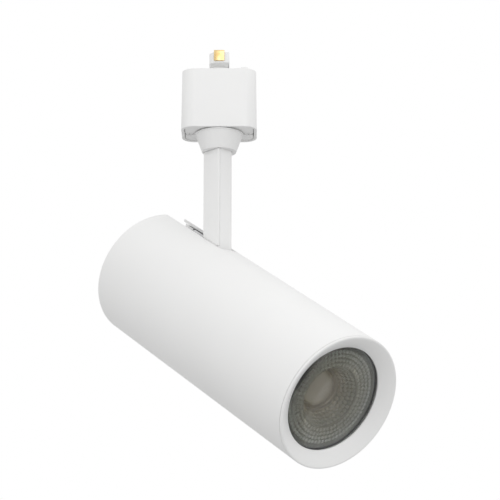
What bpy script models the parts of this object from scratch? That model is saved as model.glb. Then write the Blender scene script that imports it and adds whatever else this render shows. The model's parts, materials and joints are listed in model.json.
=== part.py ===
"""A track spotlight: a twist-in track adapter, a swivelling arm and a tubular lamp head.

World frame: metres, +Z up, +X along the track, the origin on the pan axis in the plane
where the adapter seats against the underside of the track. The lamp hangs below it.
"""

import math

import bmesh
import bpy
from mathutils import Vector

# ---- Driving dimensions -------------------------------------------------------------

# How the lamp is aimed at rest
HEADING_DEG = -47.2        # from +X, seen from above
TILT_DEG = 32.6            # below level

# Lamp head
TUBE_RADIUS = 0.0375
TUBE_WALL = 0.0015
LAMP_LENGTH = 0.1800
SLOT_WIDTH = 0.0134
PIN_RISE = 0.0300          # from the tube's axis up to the tilt pin
PIN_STATION = 0.1312       # from the front rim back to the tilt pin
PIN_DROP = 0.1086          # from the track down to the tilt pin
PIN_RADIUS = 0.0020

# Arm
ARM_DEPTH = 0.0128         # along the lamp's heading
ARM_WIDTH = 0.0123
ARM_CORNER = 0.0040
ARM_HEAD_RADIUS = 0.0092
COVER_THICKNESS = 0.0012

# Swivel
COLLAR_TOP_RADIUS = 0.0140
COLLAR_BOTTOM_RADIUS = 0.0098
COLLAR_TOP = -0.0355
COLLAR_BOTTOM = -0.0460
STUD_RADIUS = 0.0050
STUD_BORE = 0.0034
STUD_BOTTOM = -0.0415
STUD_TOP = -0.0205
STOP_RADIUS = 0.0110

# Adapter
ADAPTER_TOP = (0.0424, 0.0288)
ADAPTER_BOTTOM = (0.0432, 0.0292)
ADAPTER_HEIGHT = 0.0352
ADAPTER_CORNER = 0.0072
ADAPTER_WALL = 0.0018

# Fits
GAP = 0.0003               # between pieces that touch
RUNNING = 0.00015          # round a shaft that turns
TINY = 0.0010              # how far a cutter runs past the face it opens

# Facets round a full turn
ROUND = 48
INNER_ROUND = 32
SWIVEL_ROUND = 24
SMALL_ROUND = 16
SCREW_ROUND = 12
WIRE_ROUND = 2

# ---- Finishes: colour, roughness, metallic ------------------------------------------

WHITE_PAINT = ((0.86, 0.86, 0.85), 0.45, 0.0)
WHITE_PLASTIC = ((0.88, 0.88, 0.87), 0.35, 0.0)
BLACK_PLASTIC = ((0.03, 0.03, 0.03), 0.40, 0.0)
GREY_NYLON = ((0.55, 0.55, 0.53), 0.55, 0.0)
SILICONE = ((0.75, 0.76, 0.76), 0.60, 0.0)
STEEL = ((0.62, 0.62, 0.63), 0.30, 1.0)
ALUMINIUM = ((0.74, 0.75, 0.76), 0.38, 1.0)
BRASS = ((0.80, 0.60, 0.28), 0.28, 1.0)
CERAMIC = ((0.80, 0.80, 0.78), 0.50, 0.0)
PHOSPHOR = ((0.86, 0.68, 0.22), 0.60, 0.0)
CLEAR = ((0.78, 0.80, 0.78), 0.05, 0.0)
SMOKED_CLEAR = ((0.50, 0.50, 0.44), 0.10, 0.0)
CIRCUIT_GREEN = ((0.05, 0.25, 0.12), 0.45, 0.0)
COPPER_TAPE = ((0.85, 0.72, 0.20), 0.40, 0.0)
LIVE_BROWN = ((0.28, 0.13, 0.06), 0.45, 0.0)
NEUTRAL_BLUE = ((0.06, 0.20, 0.55), 0.45, 0.0)
EARTH_GREEN = ((0.25, 0.50, 0.10), 0.45, 0.0)

SMOOTH_BELOW = math.radians(35)


# ---- Building tools ------------------------------------------------------------------

def clear_scene():
    for thing in list(bpy.data.objects):
        bpy.data.objects.remove(thing)


def axis_empty(name, location, rotation, parent=None):
    """An empty that marks a joint's axis and carries the pieces that turn about it."""
    empty = bpy.data.objects.new(name, None)
    empty.empty_display_size = 0.02
    empty.location = location
    empty.rotation_euler = rotation
    empty.parent = parent
    bpy.context.scene.collection.objects.link(empty)
    return empty


def add_object(name, data, parent, location=(0, 0, 0), rotation=(0, 0, 0)):
    piece = bpy.data.objects.new(name, data)
    piece.location = location
    piece.rotation_euler = rotation
    piece.parent = parent
    bpy.context.scene.collection.objects.link(piece)
    return piece


def mesh_of(name, shape):
    """The bmesh as mesh data, faces out, smooth where it is round."""
    bmesh.ops.recalc_face_normals(shape, faces=shape.faces)
    mesh = bpy.data.meshes.new(name)
    shape.to_mesh(mesh)
    shape.free()
    mesh.shade_smooth()
    mesh.set_sharp_from_angle(angle=SMOOTH_BELOW)
    return mesh


def finish(piece, surface):
    """Gives the piece its own material."""
    colour, roughness, metallic = surface
    material = bpy.data.materials.new(piece.name)
    material.use_nodes = True
    shader = material.node_tree.nodes["Principled BSDF"]
    shader.inputs["Base Color"].default_value = (*colour, 1.0)
    shader.inputs["Roughness"].default_value = roughness
    shader.inputs["Metallic"].default_value = metallic
    piece.data.materials.append(material)
    return piece


def combine(piece, others, operation):
    """One exact Boolean of the piece with a group of helper solids, which aren't pieces."""
    scene_objects = bpy.context.scene.collection
    helpers = bpy.data.collections.new(f"{piece.name}_helpers_{len(piece.modifiers)}")
    helpers.hide_render = True
    scene_objects.children.link(helpers)
    for other in others:
        other.hide_render = True
        other.display_type = "WIRE"
        scene_objects.objects.unlink(other)
        helpers.objects.link(other)
    step = piece.modifiers.new(helpers.name, "BOOLEAN")
    step.operation = operation
    step.operand_type = "COLLECTION"
    step.collection = helpers
    step.solver = "EXACT"
    return piece


def cut(piece, *cutters):
    return combine(piece, cutters, "DIFFERENCE")


def join(piece, *others):
    return combine(piece, others, "UNION")


def add_box(shape, low, high):
    """A box between two corners, added to a bmesh."""
    low, high = Vector(low), Vector(high)
    made = bmesh.ops.create_cube(shape, size=1.0)
    bmesh.ops.scale(shape, vec=high - low, verts=made["verts"])
    bmesh.ops.translate(shape, vec=(low + high) / 2, verts=made["verts"])


def block(name, low, high, parent=None):
    """A rectangular solid between two corners of its parent's frame."""
    centre = (Vector(low) + Vector(high)) / 2
    shape = bmesh.new()
    add_box(shape, Vector(low) - centre, Vector(high) - centre)
    return add_object(name, mesh_of(name, shape), parent, centre)


def blocks(name, corner_pairs, parent=None):
    """Several separate boxes in one mesh, for a cutter or for what joins a larger piece."""
    shape = bmesh.new()
    for low, high in corner_pairs:
        add_box(shape, low, high)
    return add_object(name, mesh_of(name, shape), parent)


def turned(name, profile, parent=None, location=(0, 0, 0), rotation=(0, 0, 0), steps=ROUND):
    """A closed outline of (radius, height) points spun about the piece's own Z axis."""
    shape = bmesh.new()
    ring = [shape.verts.new((radius, 0, height)) for radius, height in profile]
    edges = [shape.edges.new(pair) for pair in zip(ring, ring[1:] + ring[:1])]
    on_axis = [e for e in edges if e.verts[0].co.x == 0 and e.verts[1].co.x == 0]
    bmesh.ops.delete(shape, geom=on_axis, context="EDGES")
    bmesh.ops.spin(
        shape, geom=shape.verts[:] + shape.edges[:], axis=(0, 0, 1), cent=(0, 0, 0),
        angle=math.tau, steps=steps, use_merge=True,
    )
    bmesh.ops.remove_doubles(shape, verts=shape.verts, dist=1e-6)
    return add_object(name, mesh_of(name, shape), parent, location, rotation)


def rod(name, radius, low, high, parent=None, location=(0, 0, 0), rotation=(0, 0, 0),
        steps=SMALL_ROUND):
    """A plain round bar along its own Z axis."""
    profile = [(0, low), (radius, low), (radius, high), (0, high)]
    return turned(name, profile, parent, location, rotation, steps)


def loft(name, rings, parent=None, location=(0, 0, 0), rotation=(0, 0, 0)):
    """A solid skinned over rings of points, closed by a flat face at each end."""
    shape = bmesh.new()
    loops = [[shape.verts.new(point) for point in ring] for ring in rings]
    shape.faces.new(loops[0])
    shape.faces.new(loops[-1])
    for first, second in zip(loops, loops[1:]):
        for i in range(len(first)):
            j = (i + 1) % len(first)
            shape.faces.new((first[i], first[j], second[j], second[i]))
    return add_object(name, mesh_of(name, shape), parent, location, rotation)


def rounded_outline(length, width, corners, steps=6):
    """A rectangle's outline from its +X +Y corner anticlockwise, each corner with its radius."""
    points = []
    signs = ((1, 1), (-1, 1), (-1, -1), (1, -1))
    for turn, ((sx, sy), radius) in enumerate(zip(signs, corners)):
        centre_x = sx * (length / 2 - radius)
        centre_y = sy * (width / 2 - radius)
        for i in range(steps + 1 if radius else 1):
            angle = math.radians(90) * (turn + i / steps)
            points.append((centre_x + radius * math.cos(angle), centre_y + radius * math.sin(angle)))
    return points


def at_height(outline, z):
    return [(x, y, z) for x, y in outline]


def hexagon(across_flats):
    reach = across_flats / 2 / math.cos(math.radians(30))
    turns = [math.radians(60 * i + 30) for i in range(6)]
    return [(reach * math.cos(turn), reach * math.sin(turn)) for turn in turns]


def wire(name, points, radius, surface, parent=None):
    """A round wire through a list of points."""
    curve = bpy.data.curves.new(name, "CURVE")
    curve.dimensions = "3D"
    curve.bevel_depth = radius
    curve.bevel_resolution = WIRE_ROUND
    curve.use_fill_caps = True
    spline = curve.splines.new("POLY")
    spline.points.add(len(points) - 1)
    for slot, point in zip(spline.points, points):
        slot.co = (*point, 1.0)
    return finish(add_object(name, curve, parent), surface)


def screw(name, head_radius, head_height, shank_radius, length, parent, location, rotation):
    """A pan-head screw: its head's underside at the origin, its shank down along -Z."""
    chamfer = head_height * 0.35
    profile = [
        (0, -length), (shank_radius, -length), (shank_radius, 0), (head_radius, 0),
        (head_radius, head_height - chamfer), (head_radius - chamfer, head_height),
        (0, head_height),
    ]
    piece = turned(name, profile, parent, location, rotation, SCREW_ROUND)
    socket = rod(name + "_socket", head_radius * 0.42, head_height * 0.45, head_height + TINY,
                 parent, location, rotation, 6)
    return finish(cut(piece, socket), STEEL)


# ---- Adapter --------------------------------------------------------------------------

PLATE_TOP = -0.0325
PLATE_BOTTOM = -0.0348
PLATE_SCREW_X = 0.0170
BUSH_RADIUS = 0.0070
BUSH_TOP = -0.0310
NECK_RADIUS = 0.0057
HEAD_BOTTOM = 0.0040
HEAD_TOP = 0.0105
HEAD_HALF_REACH = 0.0125
LOCK_X = (0.0125, 0.0165)
GRIP_X = (0.0092, 0.0152)
SPRING_PLACE = (0.0122, 0.0095)
SPRING_FOOT = -0.0320
EARTH_X = (-0.0165, -0.0135)


def adapter_ring(z, inset):
    """The housing's outline at a height, drawn in by a wall's thickness."""
    drop = -z / ADAPTER_HEIGHT
    size = [top + (bottom - top) * drop for top, bottom in zip(ADAPTER_TOP, ADAPTER_BOTTOM)]
    corner = ADAPTER_CORNER - inset
    outline = rounded_outline(size[0] - 2 * inset, size[1] - 2 * inset, [corner] * 4)
    return at_height(outline, z)


def build_housing():
    housing = loft("adapter_housing", [adapter_ring(-ADAPTER_HEIGHT, 0), adapter_ring(0, 0)])
    cavity = loft(
        "housing_cavity",
        [adapter_ring(-ADAPTER_HEIGHT - TINY, ADAPTER_WALL), adapter_ring(-0.0020, ADAPTER_WALL)],
    )
    bosses = [
        rod(f"screw_boss_{i}", 0.0032, PLATE_TOP + GAP, -0.0215, location=(x, 0, 0))
        for i, x in enumerate((-PLATE_SCREW_X, PLATE_SCREW_X))
    ]
    pilots = [
        rod(f"screw_pilot_{i}", 0.0014, PLATE_TOP - TINY, -0.0230, location=(x, 0, 0))
        for i, x in enumerate((-PLATE_SCREW_X, PLATE_SCREW_X))
    ]
    neck_hole = rod("neck_hole", NECK_RADIUS + GAP, -0.0040, TINY)
    tongue_slot = block(
        "tongue_slot", (LOCK_X[0] - GAP, -0.0058, -0.0040), (LOCK_X[1] + GAP, 0.0058, TINY)
    )
    earth_slot = block(
        "earth_slot", (EARTH_X[0] - GAP, -0.0028, -0.0040), (EARTH_X[1] + GAP, 0.0028, TINY)
    )
    grip_window = block(
        "grip_window", (GRIP_X[0] - GAP, 0.0110, -0.0240), (GRIP_X[1] + GAP, 0.0160, -0.0116)
    )
    cut(housing, cavity)
    join(housing, *bosses)
    cut(housing, *pilots, neck_hole, tongue_slot, earth_slot, grip_window)
    finish(housing, WHITE_PLASTIC)


def build_bottom_plate():
    inset = ADAPTER_WALL + GAP
    plate = loft(
        "adapter_bottom_plate", [adapter_ring(PLATE_BOTTOM, inset), adapter_ring(PLATE_TOP, inset)]
    )
    stop_post = rod("stop_post", 0.0009, PLATE_TOP - TINY, BUSH_TOP + 0.0020,
                    location=(-STOP_RADIUS, 0, 0))
    spring_post = rod("spring_post", 0.0011, PLATE_TOP - TINY, PLATE_TOP + 0.0040,
                      location=(*SPRING_PLACE, 0))
    join(plate, stop_post, spring_post)
    openings = [rod("bush_hole", BUSH_RADIUS + GAP, PLATE_BOTTOM - TINY, PLATE_TOP + TINY)]
    for side, x in (("left", -PLATE_SCREW_X), ("right", PLATE_SCREW_X)):
        openings.append(turned(f"plate_hole_{side}", [
            (0, PLATE_BOTTOM - TINY), (0.0026, PLATE_BOTTOM - TINY), (0.0026, PLATE_BOTTOM + 0.0012),
            (0.0017, PLATE_BOTTOM + 0.0012), (0.0017, PLATE_TOP + TINY), (0, PLATE_TOP + TINY),
        ], None, (x, 0, 0), steps=SMALL_ROUND))
        screw(f"plate_screw_{side}", 0.0023, 0.0010, 0.0011, 0.0095, None,
              (x, 0, PLATE_BOTTOM + 0.0009), (math.pi, 0, 0))
    cut(plate, *openings)
    finish(plate, WHITE_PLASTIC)


def build_bush():
    bore = STUD_RADIUS + RUNNING
    flange = 0.0085
    profile = [
        (bore, PLATE_BOTTOM), (BUSH_RADIUS, PLATE_BOTTOM), (BUSH_RADIUS, PLATE_TOP + GAP),
        (flange, PLATE_TOP + GAP), (flange, BUSH_TOP), (bore, BUSH_TOP),
    ]
    finish(turned("swivel_bush", profile, steps=SWIVEL_ROUND), GREY_NYLON)


def build_contact_carrier():
    base = block("contact_carrier", (-0.0085, -0.0110, -0.0120), (0.0085, 0.0110, -0.0023))
    neck = rod("carrier_neck", NECK_RADIUS, -0.0060, HEAD_BOTTOM + TINY)
    head = block(
        "carrier_head", (-NECK_RADIUS, -HEAD_HALF_REACH, HEAD_BOTTOM),
        (NECK_RADIUS, HEAD_HALF_REACH, HEAD_TOP),
    )
    lead_way = rod("lead_way", 0.0030, -0.0140, HEAD_BOTTOM)
    join(base, neck, head)
    cut(base, lead_way)
    finish(base, WHITE_PLASTIC)


def build_contacts():
    """Two brass blades over the ends of the twist-in head, and an earth finger beside it."""
    leaf = 0.0006
    for name, side in (("line_contact", 1), ("neutral_contact", -1)):
        outer = HEAD_HALF_REACH + GAP + leaf
        near = sorted((side * (outer - leaf), side * outer))
        over = sorted((side * 0.0030, side * outer))
        blade = block(
            name, (-0.0030, near[0], HEAD_BOTTOM + 0.0010), (0.0030, near[1], HEAD_TOP + GAP + leaf)
        )
        top = block(
            name + "_top", (-0.0030, over[0], HEAD_TOP + GAP), (0.0030, over[1], HEAD_TOP + GAP + leaf)
        )
        finish(join(blade, top), BRASS)
    finger = block("earth_contact", (EARTH_X[0], -0.0025, -0.0140), (EARTH_X[0] + leaf, 0.0025, 0.0012))
    fold = block("earth_fold", (EARTH_X[0], -0.0025, 0.0006), (EARTH_X[1], 0.0025, 0.0012))
    heel = block("earth_heel", (EARTH_X[1] - leaf, -0.0025, -0.0060), (EARTH_X[1], 0.0025, 0.0012))
    finish(join(finger, fold, heel), BRASS)


def build_leads():
    """The adapter's own leads, from the carrier down to the mouth of the hollow stud."""
    route = [(0, 0, -0.0125), (0.0001, 0, -0.0150), (0, 0, -0.0175), (0, 0, -0.0200)]
    for name, across, surface in (
        ("adapter_lead_live", -0.0013, LIVE_BROWN), ("adapter_lead_neutral", 0.0013, NEUTRAL_BLUE)
    ):
        wire(name, [(x, y + across, z) for x, y, z in route], 0.0009, surface)


def build_lock():
    """The sprung tongue that stops the adapter from twisting, with its grip at the back."""
    slider = block("lock_slider", (GRIP_X[0], 0.0090, -0.0180), (GRIP_X[1], 0.0122, -0.0070))
    bridge = block("lock_bridge", (LOCK_X[0], -0.0055, -0.0100), (LOCK_X[1], 0.0100, -0.0070))
    tongue = block("lock_tongue", (LOCK_X[0], -0.0055, -0.0080), (LOCK_X[1], 0.0055, 0.0040))
    shelf = block("lock_shelf", (GRIP_X[0], 0.0066, -0.0200), (GRIP_X[1], 0.0122, -0.0175))
    grip = block("lock_grip", (GRIP_X[0], 0.0118, -0.0180), (GRIP_X[1], 0.0152, -0.0120))
    finish(join(slider, bridge, tongue, shelf, grip), WHITE_PLASTIC)
    turns, per_turn, coil = 5, 10, 0.0019
    low, high = SPRING_FOOT, -0.0207
    points = []
    for i in range(turns * per_turn + 1):
        angle = math.tau * i / per_turn
        rise = low + (high - low) * i / (turns * per_turn)
        out, side = coil * math.cos(angle), coil * math.sin(angle)
        points.append((SPRING_PLACE[0] + out, SPRING_PLACE[1] + side, rise))
    spring = wire("lock_spring", points, 0.0003, STEEL)
    spring.data.bevel_resolution = 0


# ---- Swivel and arm -------------------------------------------------------------------

HEAD_PLATE_TOP = PLATE_BOTTOM - GAP
HEAD_PLATE_BOTTOM = -0.0420
COVER_BOTTOM = -0.1036
COVER_TOP = -0.0424
WASHER_RADIUS = 0.0043
SINK_FLOOR = ARM_WIDTH / 2 - 0.0010


def build_swivel(pan):
    fit = ARM_HEAD_RADIUS + GAP
    floor = HEAD_PLATE_BOTTOM - GAP
    collar = turned("swivel_collar", [
        (fit, COLLAR_TOP), (COLLAR_TOP_RADIUS, COLLAR_TOP), (COLLAR_TOP_RADIUS, COLLAR_TOP - 0.0006),
        (COLLAR_TOP_RADIUS - 0.0006, COLLAR_TOP - 0.0006),
        (COLLAR_BOTTOM_RADIUS, COLLAR_BOTTOM), (0, COLLAR_BOTTOM), (0, floor), (fit, floor),
    ], pan, steps=INNER_ROUND)
    corner = ARM_CORNER + GAP
    outline = rounded_outline(ARM_DEPTH + 2 * GAP, ARM_WIDTH + 2 * GAP, [corner, corner, 0, 0])
    arm_hole = loft(
        "arm_hole", [at_height(outline, COLLAR_BOTTOM - TINY), at_height(outline, floor + TINY)], pan
    )
    finish(cut(collar, arm_hole), WHITE_PAINT)

    bore = STUD_RADIUS + RUNNING
    finish(turned("swivel_stud", [
        (STUD_BORE, STUD_BOTTOM), (STUD_RADIUS, STUD_BOTTOM), (STUD_RADIUS, STUD_TOP),
        (STUD_BORE, STUD_TOP),
    ], pan, steps=SWIVEL_ROUND), STEEL)

    washer_low, washer_high = BUSH_TOP + GAP, BUSH_TOP + 0.0016
    washer = turned("stop_washer", [
        (bore, washer_low), (0.0085, washer_low), (0.0085, washer_high), (bore, washer_high),
    ], pan, steps=SWIVEL_ROUND)
    tab = block("stop_tab", (0.0080, -0.0009, washer_low), (0.0122, 0.0009, washer_high), pan)
    finish(join(washer, tab), STEEL)

    cone_low = washer_high + GAP
    finish(turned("spring_washer", [
        (bore, cone_low + 0.0005), (0.0080, cone_low), (0.0080, cone_low + 0.0006),
        (bore, cone_low + 0.0011),
    ], pan, steps=SWIVEL_ROUND), STEEL)

    nut_low, nut_high = cone_low + 0.0014, cone_low + 0.0070
    nut = loft(
        "swivel_nut", [at_height(hexagon(0.015), nut_low), at_height(hexagon(0.015), nut_high)], pan
    )
    finish(cut(nut, rod("nut_bore", bore, nut_low - TINY, nut_high + TINY, pan)), STEEL)


def build_arm(pan):
    """The arm: a channel with a round-backed outline, its hinge end bored for the tilt pin."""
    outline = rounded_outline(ARM_DEPTH, ARM_WIDTH, [ARM_CORNER, ARM_CORNER, 0, 0])
    arm = loft("arm", [at_height(outline, -PIN_DROP), at_height(outline, HEAD_PLATE_BOTTOM + TINY)], pan)
    head = turned("arm_head", [
        (0, HEAD_PLATE_BOTTOM), (ARM_HEAD_RADIUS, HEAD_PLATE_BOTTOM), (ARM_HEAD_RADIUS, HEAD_PLATE_TOP),
        (0, HEAD_PLATE_TOP),
    ], pan, steps=SWIVEL_ROUND)
    across = (math.pi / 2, 0, 0)
    pin = (0, 0, -PIN_DROP)
    end = turned("arm_end", [
        (0, -ARM_WIDTH / 2), (ARM_DEPTH / 2, -ARM_WIDTH / 2), (ARM_DEPTH / 2, ARM_WIDTH / 2),
        (0, ARM_WIDTH / 2),
    ], pan, pin, across, SWIVEL_ROUND)
    join(arm, head, end)
    open_side = -ARM_WIDTH / 2 - TINY
    rebate = block(
        "cover_rebate", (-ARM_DEPTH, open_side, COVER_BOTTOM - GAP),
        (ARM_DEPTH, -ARM_WIDTH / 2 + COVER_THICKNESS + GAP, COVER_TOP + GAP), pan,
    )
    channel = block(
        "wire_channel", (-0.0046, open_side, -0.1010),
        (0.0046, ARM_WIDTH / 2 - 0.0020, COVER_TOP + GAP), pan,
    )
    stud_fit, seat = STUD_RADIUS + RUNNING, STUD_BOTTOM - GAP / 2
    stud_hole = turned("stud_hole", [
        (0, COVER_TOP - TINY), (STUD_BORE, COVER_TOP - TINY), (STUD_BORE, seat), (stud_fit, seat),
        (stud_fit, HEAD_PLATE_TOP + TINY), (0, HEAD_PLATE_TOP + TINY),
    ], pan, steps=SWIVEL_ROUND)
    pin_bore = rod("pin_bore", PIN_RADIUS + RUNNING, -0.0080, 0.0080, pan, pin, across)
    washer_sinks = [
        rod(f"washer_sink_{i}", WASHER_RADIUS + GAP, low, high, pan, pin, across)
        for i, (low, high) in enumerate(((SINK_FLOOR, 0.0080), (-0.0080, -SINK_FLOOR)))
    ]
    cut(arm, rebate, channel, stud_hole, pin_bore, *washer_sinks)
    finish(arm, WHITE_PAINT)

    cover = block(
        "arm_cover", (-ARM_DEPTH / 2, -ARM_WIDTH / 2, COVER_BOTTOM),
        (ARM_DEPTH / 2, -ARM_WIDTH / 2 + COVER_THICKNESS, -0.0426), pan,
    )
    finish(cover, WHITE_PAINT)

    route = [0.0009, -0.0006, 0.0007, -0.0004, 0.0]
    top, bottom = -0.0440, -0.1000
    for name, offset, surface in (
        ("arm_wire_live", -0.0030, LIVE_BROWN),
        ("arm_wire_neutral", 0.0000, NEUTRAL_BLUE),
        ("arm_wire_earth", 0.0030, EARTH_GREEN),
    ):
        drop = (bottom - top) / (len(route) - 1)
        points = [(offset, sway, top + drop * i) for i, sway in enumerate(route)]
        wire(name, points, 0.0011, surface, pan)


# ---- Lamp head ------------------------------------------------------------------------
# Stations are measured from the front rim towards the rear; up is towards the slot.

SEAM = 0.0013
MOUTH_RADIUS = 0.0293
MOUTH_STATION = 0.0053
SKIRT_RADIUS = TUBE_RADIUS - TUBE_WALL - 0.0004
SKIRT_END = 0.0140
SLOT_FRONT = 0.1240
SINK_FACE = 0.0360
SINK_RADIUS = TUBE_RADIUS - TUBE_WALL - GAP
FIN_START, FIN_END = 0.0410, 0.0980
FIN_PITCH, FIN_THICKNESS, FINS_A_SIDE = 0.0065, 0.0018, 4
BOSS_TOP = 0.0215
FLOOR_LOW, FLOOR_HIGH = 0.0218, 0.0230
CHEEK_INNER, CHEEK_OUTER, CHEEK_TOP = 0.0065, 0.0077, 0.0348
CHEEK_FRONT, CHEEK_BACK = 0.1210, 0.1695
BRACKET_SCREW_STATIONS = (0.1055, 0.1135)
CAP_FRONT, CAP_BACK = 0.1740, 0.1775
POST_PLACES = {"left": (0.0260, 0.0), "right": (-0.0260, 0.0), "bottom": (0.0, -0.0295)}
POST_RADIUS = 0.0030
FACING_FRONT = (0, math.pi / 2, 0)
FACING_REAR = (0, -math.pi / 2, 0)


def in_lamp(station, across=0.0, up=0.0):
    """A place in the lamp head, in the frame of the tilt axis that carries it."""
    return Vector((PIN_STATION - station, across, up - PIN_RISE))


def lamp_ring(name, profile, tilt, steps=ROUND):
    """A turned piece of the lamp head, from an outline of (radius, station) points."""
    flipped = [(radius, -station) for radius, station in profile]
    return turned(name, flipped, tilt, in_lamp(0), FACING_FRONT, steps)


def lamp_corners(stations, across, up):
    low = in_lamp(max(stations), min(across), min(up))
    high = in_lamp(min(stations), max(across), max(up))
    return low, high


def lamp_block(name, stations, across, up, tilt):
    return block(name, *lamp_corners(stations, across, up), tilt)


def lamp_rod(name, radius, stations, place, tilt):
    """A round bar along the lamp's axis, at (across, up)."""
    return rod(name, radius, -max(stations), -min(stations), tilt, in_lamp(0, *place), FACING_FRONT)


def build_tube(tilt):
    inner = TUBE_RADIUS - TUBE_WALL
    front = SEAM + GAP
    tube = lamp_ring("lamp_tube", [
        (inner, front), (inner, LAMP_LENGTH), (TUBE_RADIUS, LAMP_LENGTH), (TUBE_RADIUS, front),
    ], tilt)
    length = LAMP_LENGTH - SLOT_FRONT + 2 * TINY
    corner = 0.0020
    outline = rounded_outline(length, SLOT_WIDTH, [corner, 0, 0, corner])
    middle = SLOT_FRONT + length / 2
    slot = loft("tube_slot", [at_height(outline, 0.0), at_height(outline, 0.02)], tilt,
                in_lamp(middle, 0, TUBE_RADIUS - 0.0120))
    finish(cut(tube, slot), WHITE_PAINT)


def build_bezel(tilt):
    lip_back = MOUTH_STATION + 0.0009
    finish(lamp_ring("bezel", [
        (TUBE_RADIUS, SEAM), (TUBE_RADIUS, 0.0005), (TUBE_RADIUS - 0.0005, 0),
        (TUBE_RADIUS - 0.0011, 0), (MOUTH_RADIUS, MOUTH_STATION), (MOUTH_RADIUS, lip_back),
        (0.0326, lip_back), (0.0326, SKIRT_END), (SKIRT_RADIUS, SKIRT_END), (SKIRT_RADIUS, SEAM),
    ], tilt), WHITE_PAINT)


def build_optics(tilt):
    finish(lamp_ring("front_glass", [(0, 0.0065), (0.0322, 0.0065), (0.0322, 0.0081), (0, 0.0081)],
                     tilt), CLEAR)
    finish(lamp_ring("glass_gasket", [
        (0.0302, 0.0084), (0.0322, 0.0084), (0.0322, 0.0099), (0.0302, 0.0099),
    ], tilt, INNER_ROUND), SILICONE)
    finish(lamp_ring("lens", [
        (0, 0.0158), (0.0050, 0.0161), (0.0102, 0.0172), (0.0170, 0.0090), (0.0286, 0.0090),
        (0.0286, 0.0110), (0.0270, 0.0110), (0.0250, 0.0150), (0.0215, 0.0205), (0.0170, 0.0260),
        (0.0120, 0.0310), (0.0090, 0.0310), (0.0082, 0.0250), (0.0040, 0.0232), (0, 0.0226),
    ], tilt, INNER_ROUND), SMOKED_CLEAR)
    finish(lamp_ring("lens_holder", [
        (0.0289, 0.0102), (0.0289, 0.0113), (0.0276, 0.0113), (0.0258, 0.0152), (0.0223, 0.0209),
        (0.0178, 0.0265), (0.0129, 0.0312), (0.0146, 0.0312), (0.0194, 0.0269), (0.0240, 0.0212),
        (0.0270, 0.0162), (0.0330, 0.0162), (0.0330, 0.0357), (0.0348, 0.0357), (0.0348, 0.0144),
        (0.0322, 0.0144), (0.0322, 0.0102),
    ], tilt, INNER_ROUND), BLACK_PLASTIC)


def build_led(tilt):
    board_half = 0.0095
    finish(lamp_block("cob_board", (0.0344, 0.0357), (-board_half, board_half),
                      (-board_half, board_half), tilt), CERAMIC)
    finish(lamp_ring("cob_phosphor", [(0, 0.0333), (0.0074, 0.0333), (0.0074, 0.0341), (0, 0.0341)],
                     tilt, SWIVEL_ROUND), PHOSPHOR)
    holder = lamp_ring("led_holder", [
        (0.0090, 0.0316), (0.0175, 0.0316), (0.0175, 0.0357), (0.0090, 0.0357),
    ], tilt, SWIVEL_ROUND)
    pocket_half = board_half + 0.0004
    openings = [lamp_block("board_pocket", (0.0341, 0.0370), (-pocket_half, pocket_half),
                           (-pocket_half, pocket_half), tilt)]
    for side, across in (("left", 0.0136), ("right", -0.0136)):
        openings.append(turned(f"led_hole_{side}", [
            (0, -0.0370), (0.0016, -0.0370), (0.0016, -0.0338), (0.0029, -0.0338),
            (0.0029, -0.0300), (0, -0.0300),
        ], tilt, in_lamp(0, across), FACING_FRONT, SMALL_ROUND))
        screw(f"led_screw_{side}", 0.0026, 0.0015, 0.0012, 0.0060, tilt,
              in_lamp(0.0335, across), FACING_FRONT)
    cut(holder, *openings)
    finish(holder, WHITE_PLASTIC)


def build_heat_sink(tilt):
    sink = lamp_ring("heat_sink", [
        (0, SINK_FACE), (SINK_RADIUS, SINK_FACE), (SINK_RADIUS, FIN_START), (0, FIN_START),
    ], tilt)
    fins = []
    for number in range(-FINS_A_SIDE, FINS_A_SIDE + 1):
        across = number * FIN_PITCH
        far_side = abs(across) + FIN_THICKNESS / 2
        reach = math.sqrt((SINK_RADIUS - 0.0006) ** 2 - far_side ** 2)
        sides = (across - FIN_THICKNESS / 2, across + FIN_THICKNESS / 2)
        fins.append(lamp_corners((FIN_START - TINY, FIN_END), sides, (-reach, reach)))
    boss = lamp_block("bracket_boss", (FIN_END - 0.0080, 0.1200), (-0.0110, 0.0110),
                      (0.0100, BOSS_TOP), tilt)
    join(sink, blocks("heat_sink_fins", fins, tilt), boss)
    pilots = [
        lamp_rod(f"led_pilot_{side}", 0.0015, (0.0350, 0.0400), (across, 0), tilt)
        for side, across in (("left", 0.0136), ("right", -0.0136))
    ]
    for end, station in zip(("front", "rear"), BRACKET_SCREW_STATIONS):
        pilots.append(rod(f"bracket_pilot_{end}", 0.0017, -0.0100, TINY, tilt,
                          in_lamp(station, 0, BOSS_TOP)))
    cut(sink, *pilots)
    finish(sink, ALUMINIUM)


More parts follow.
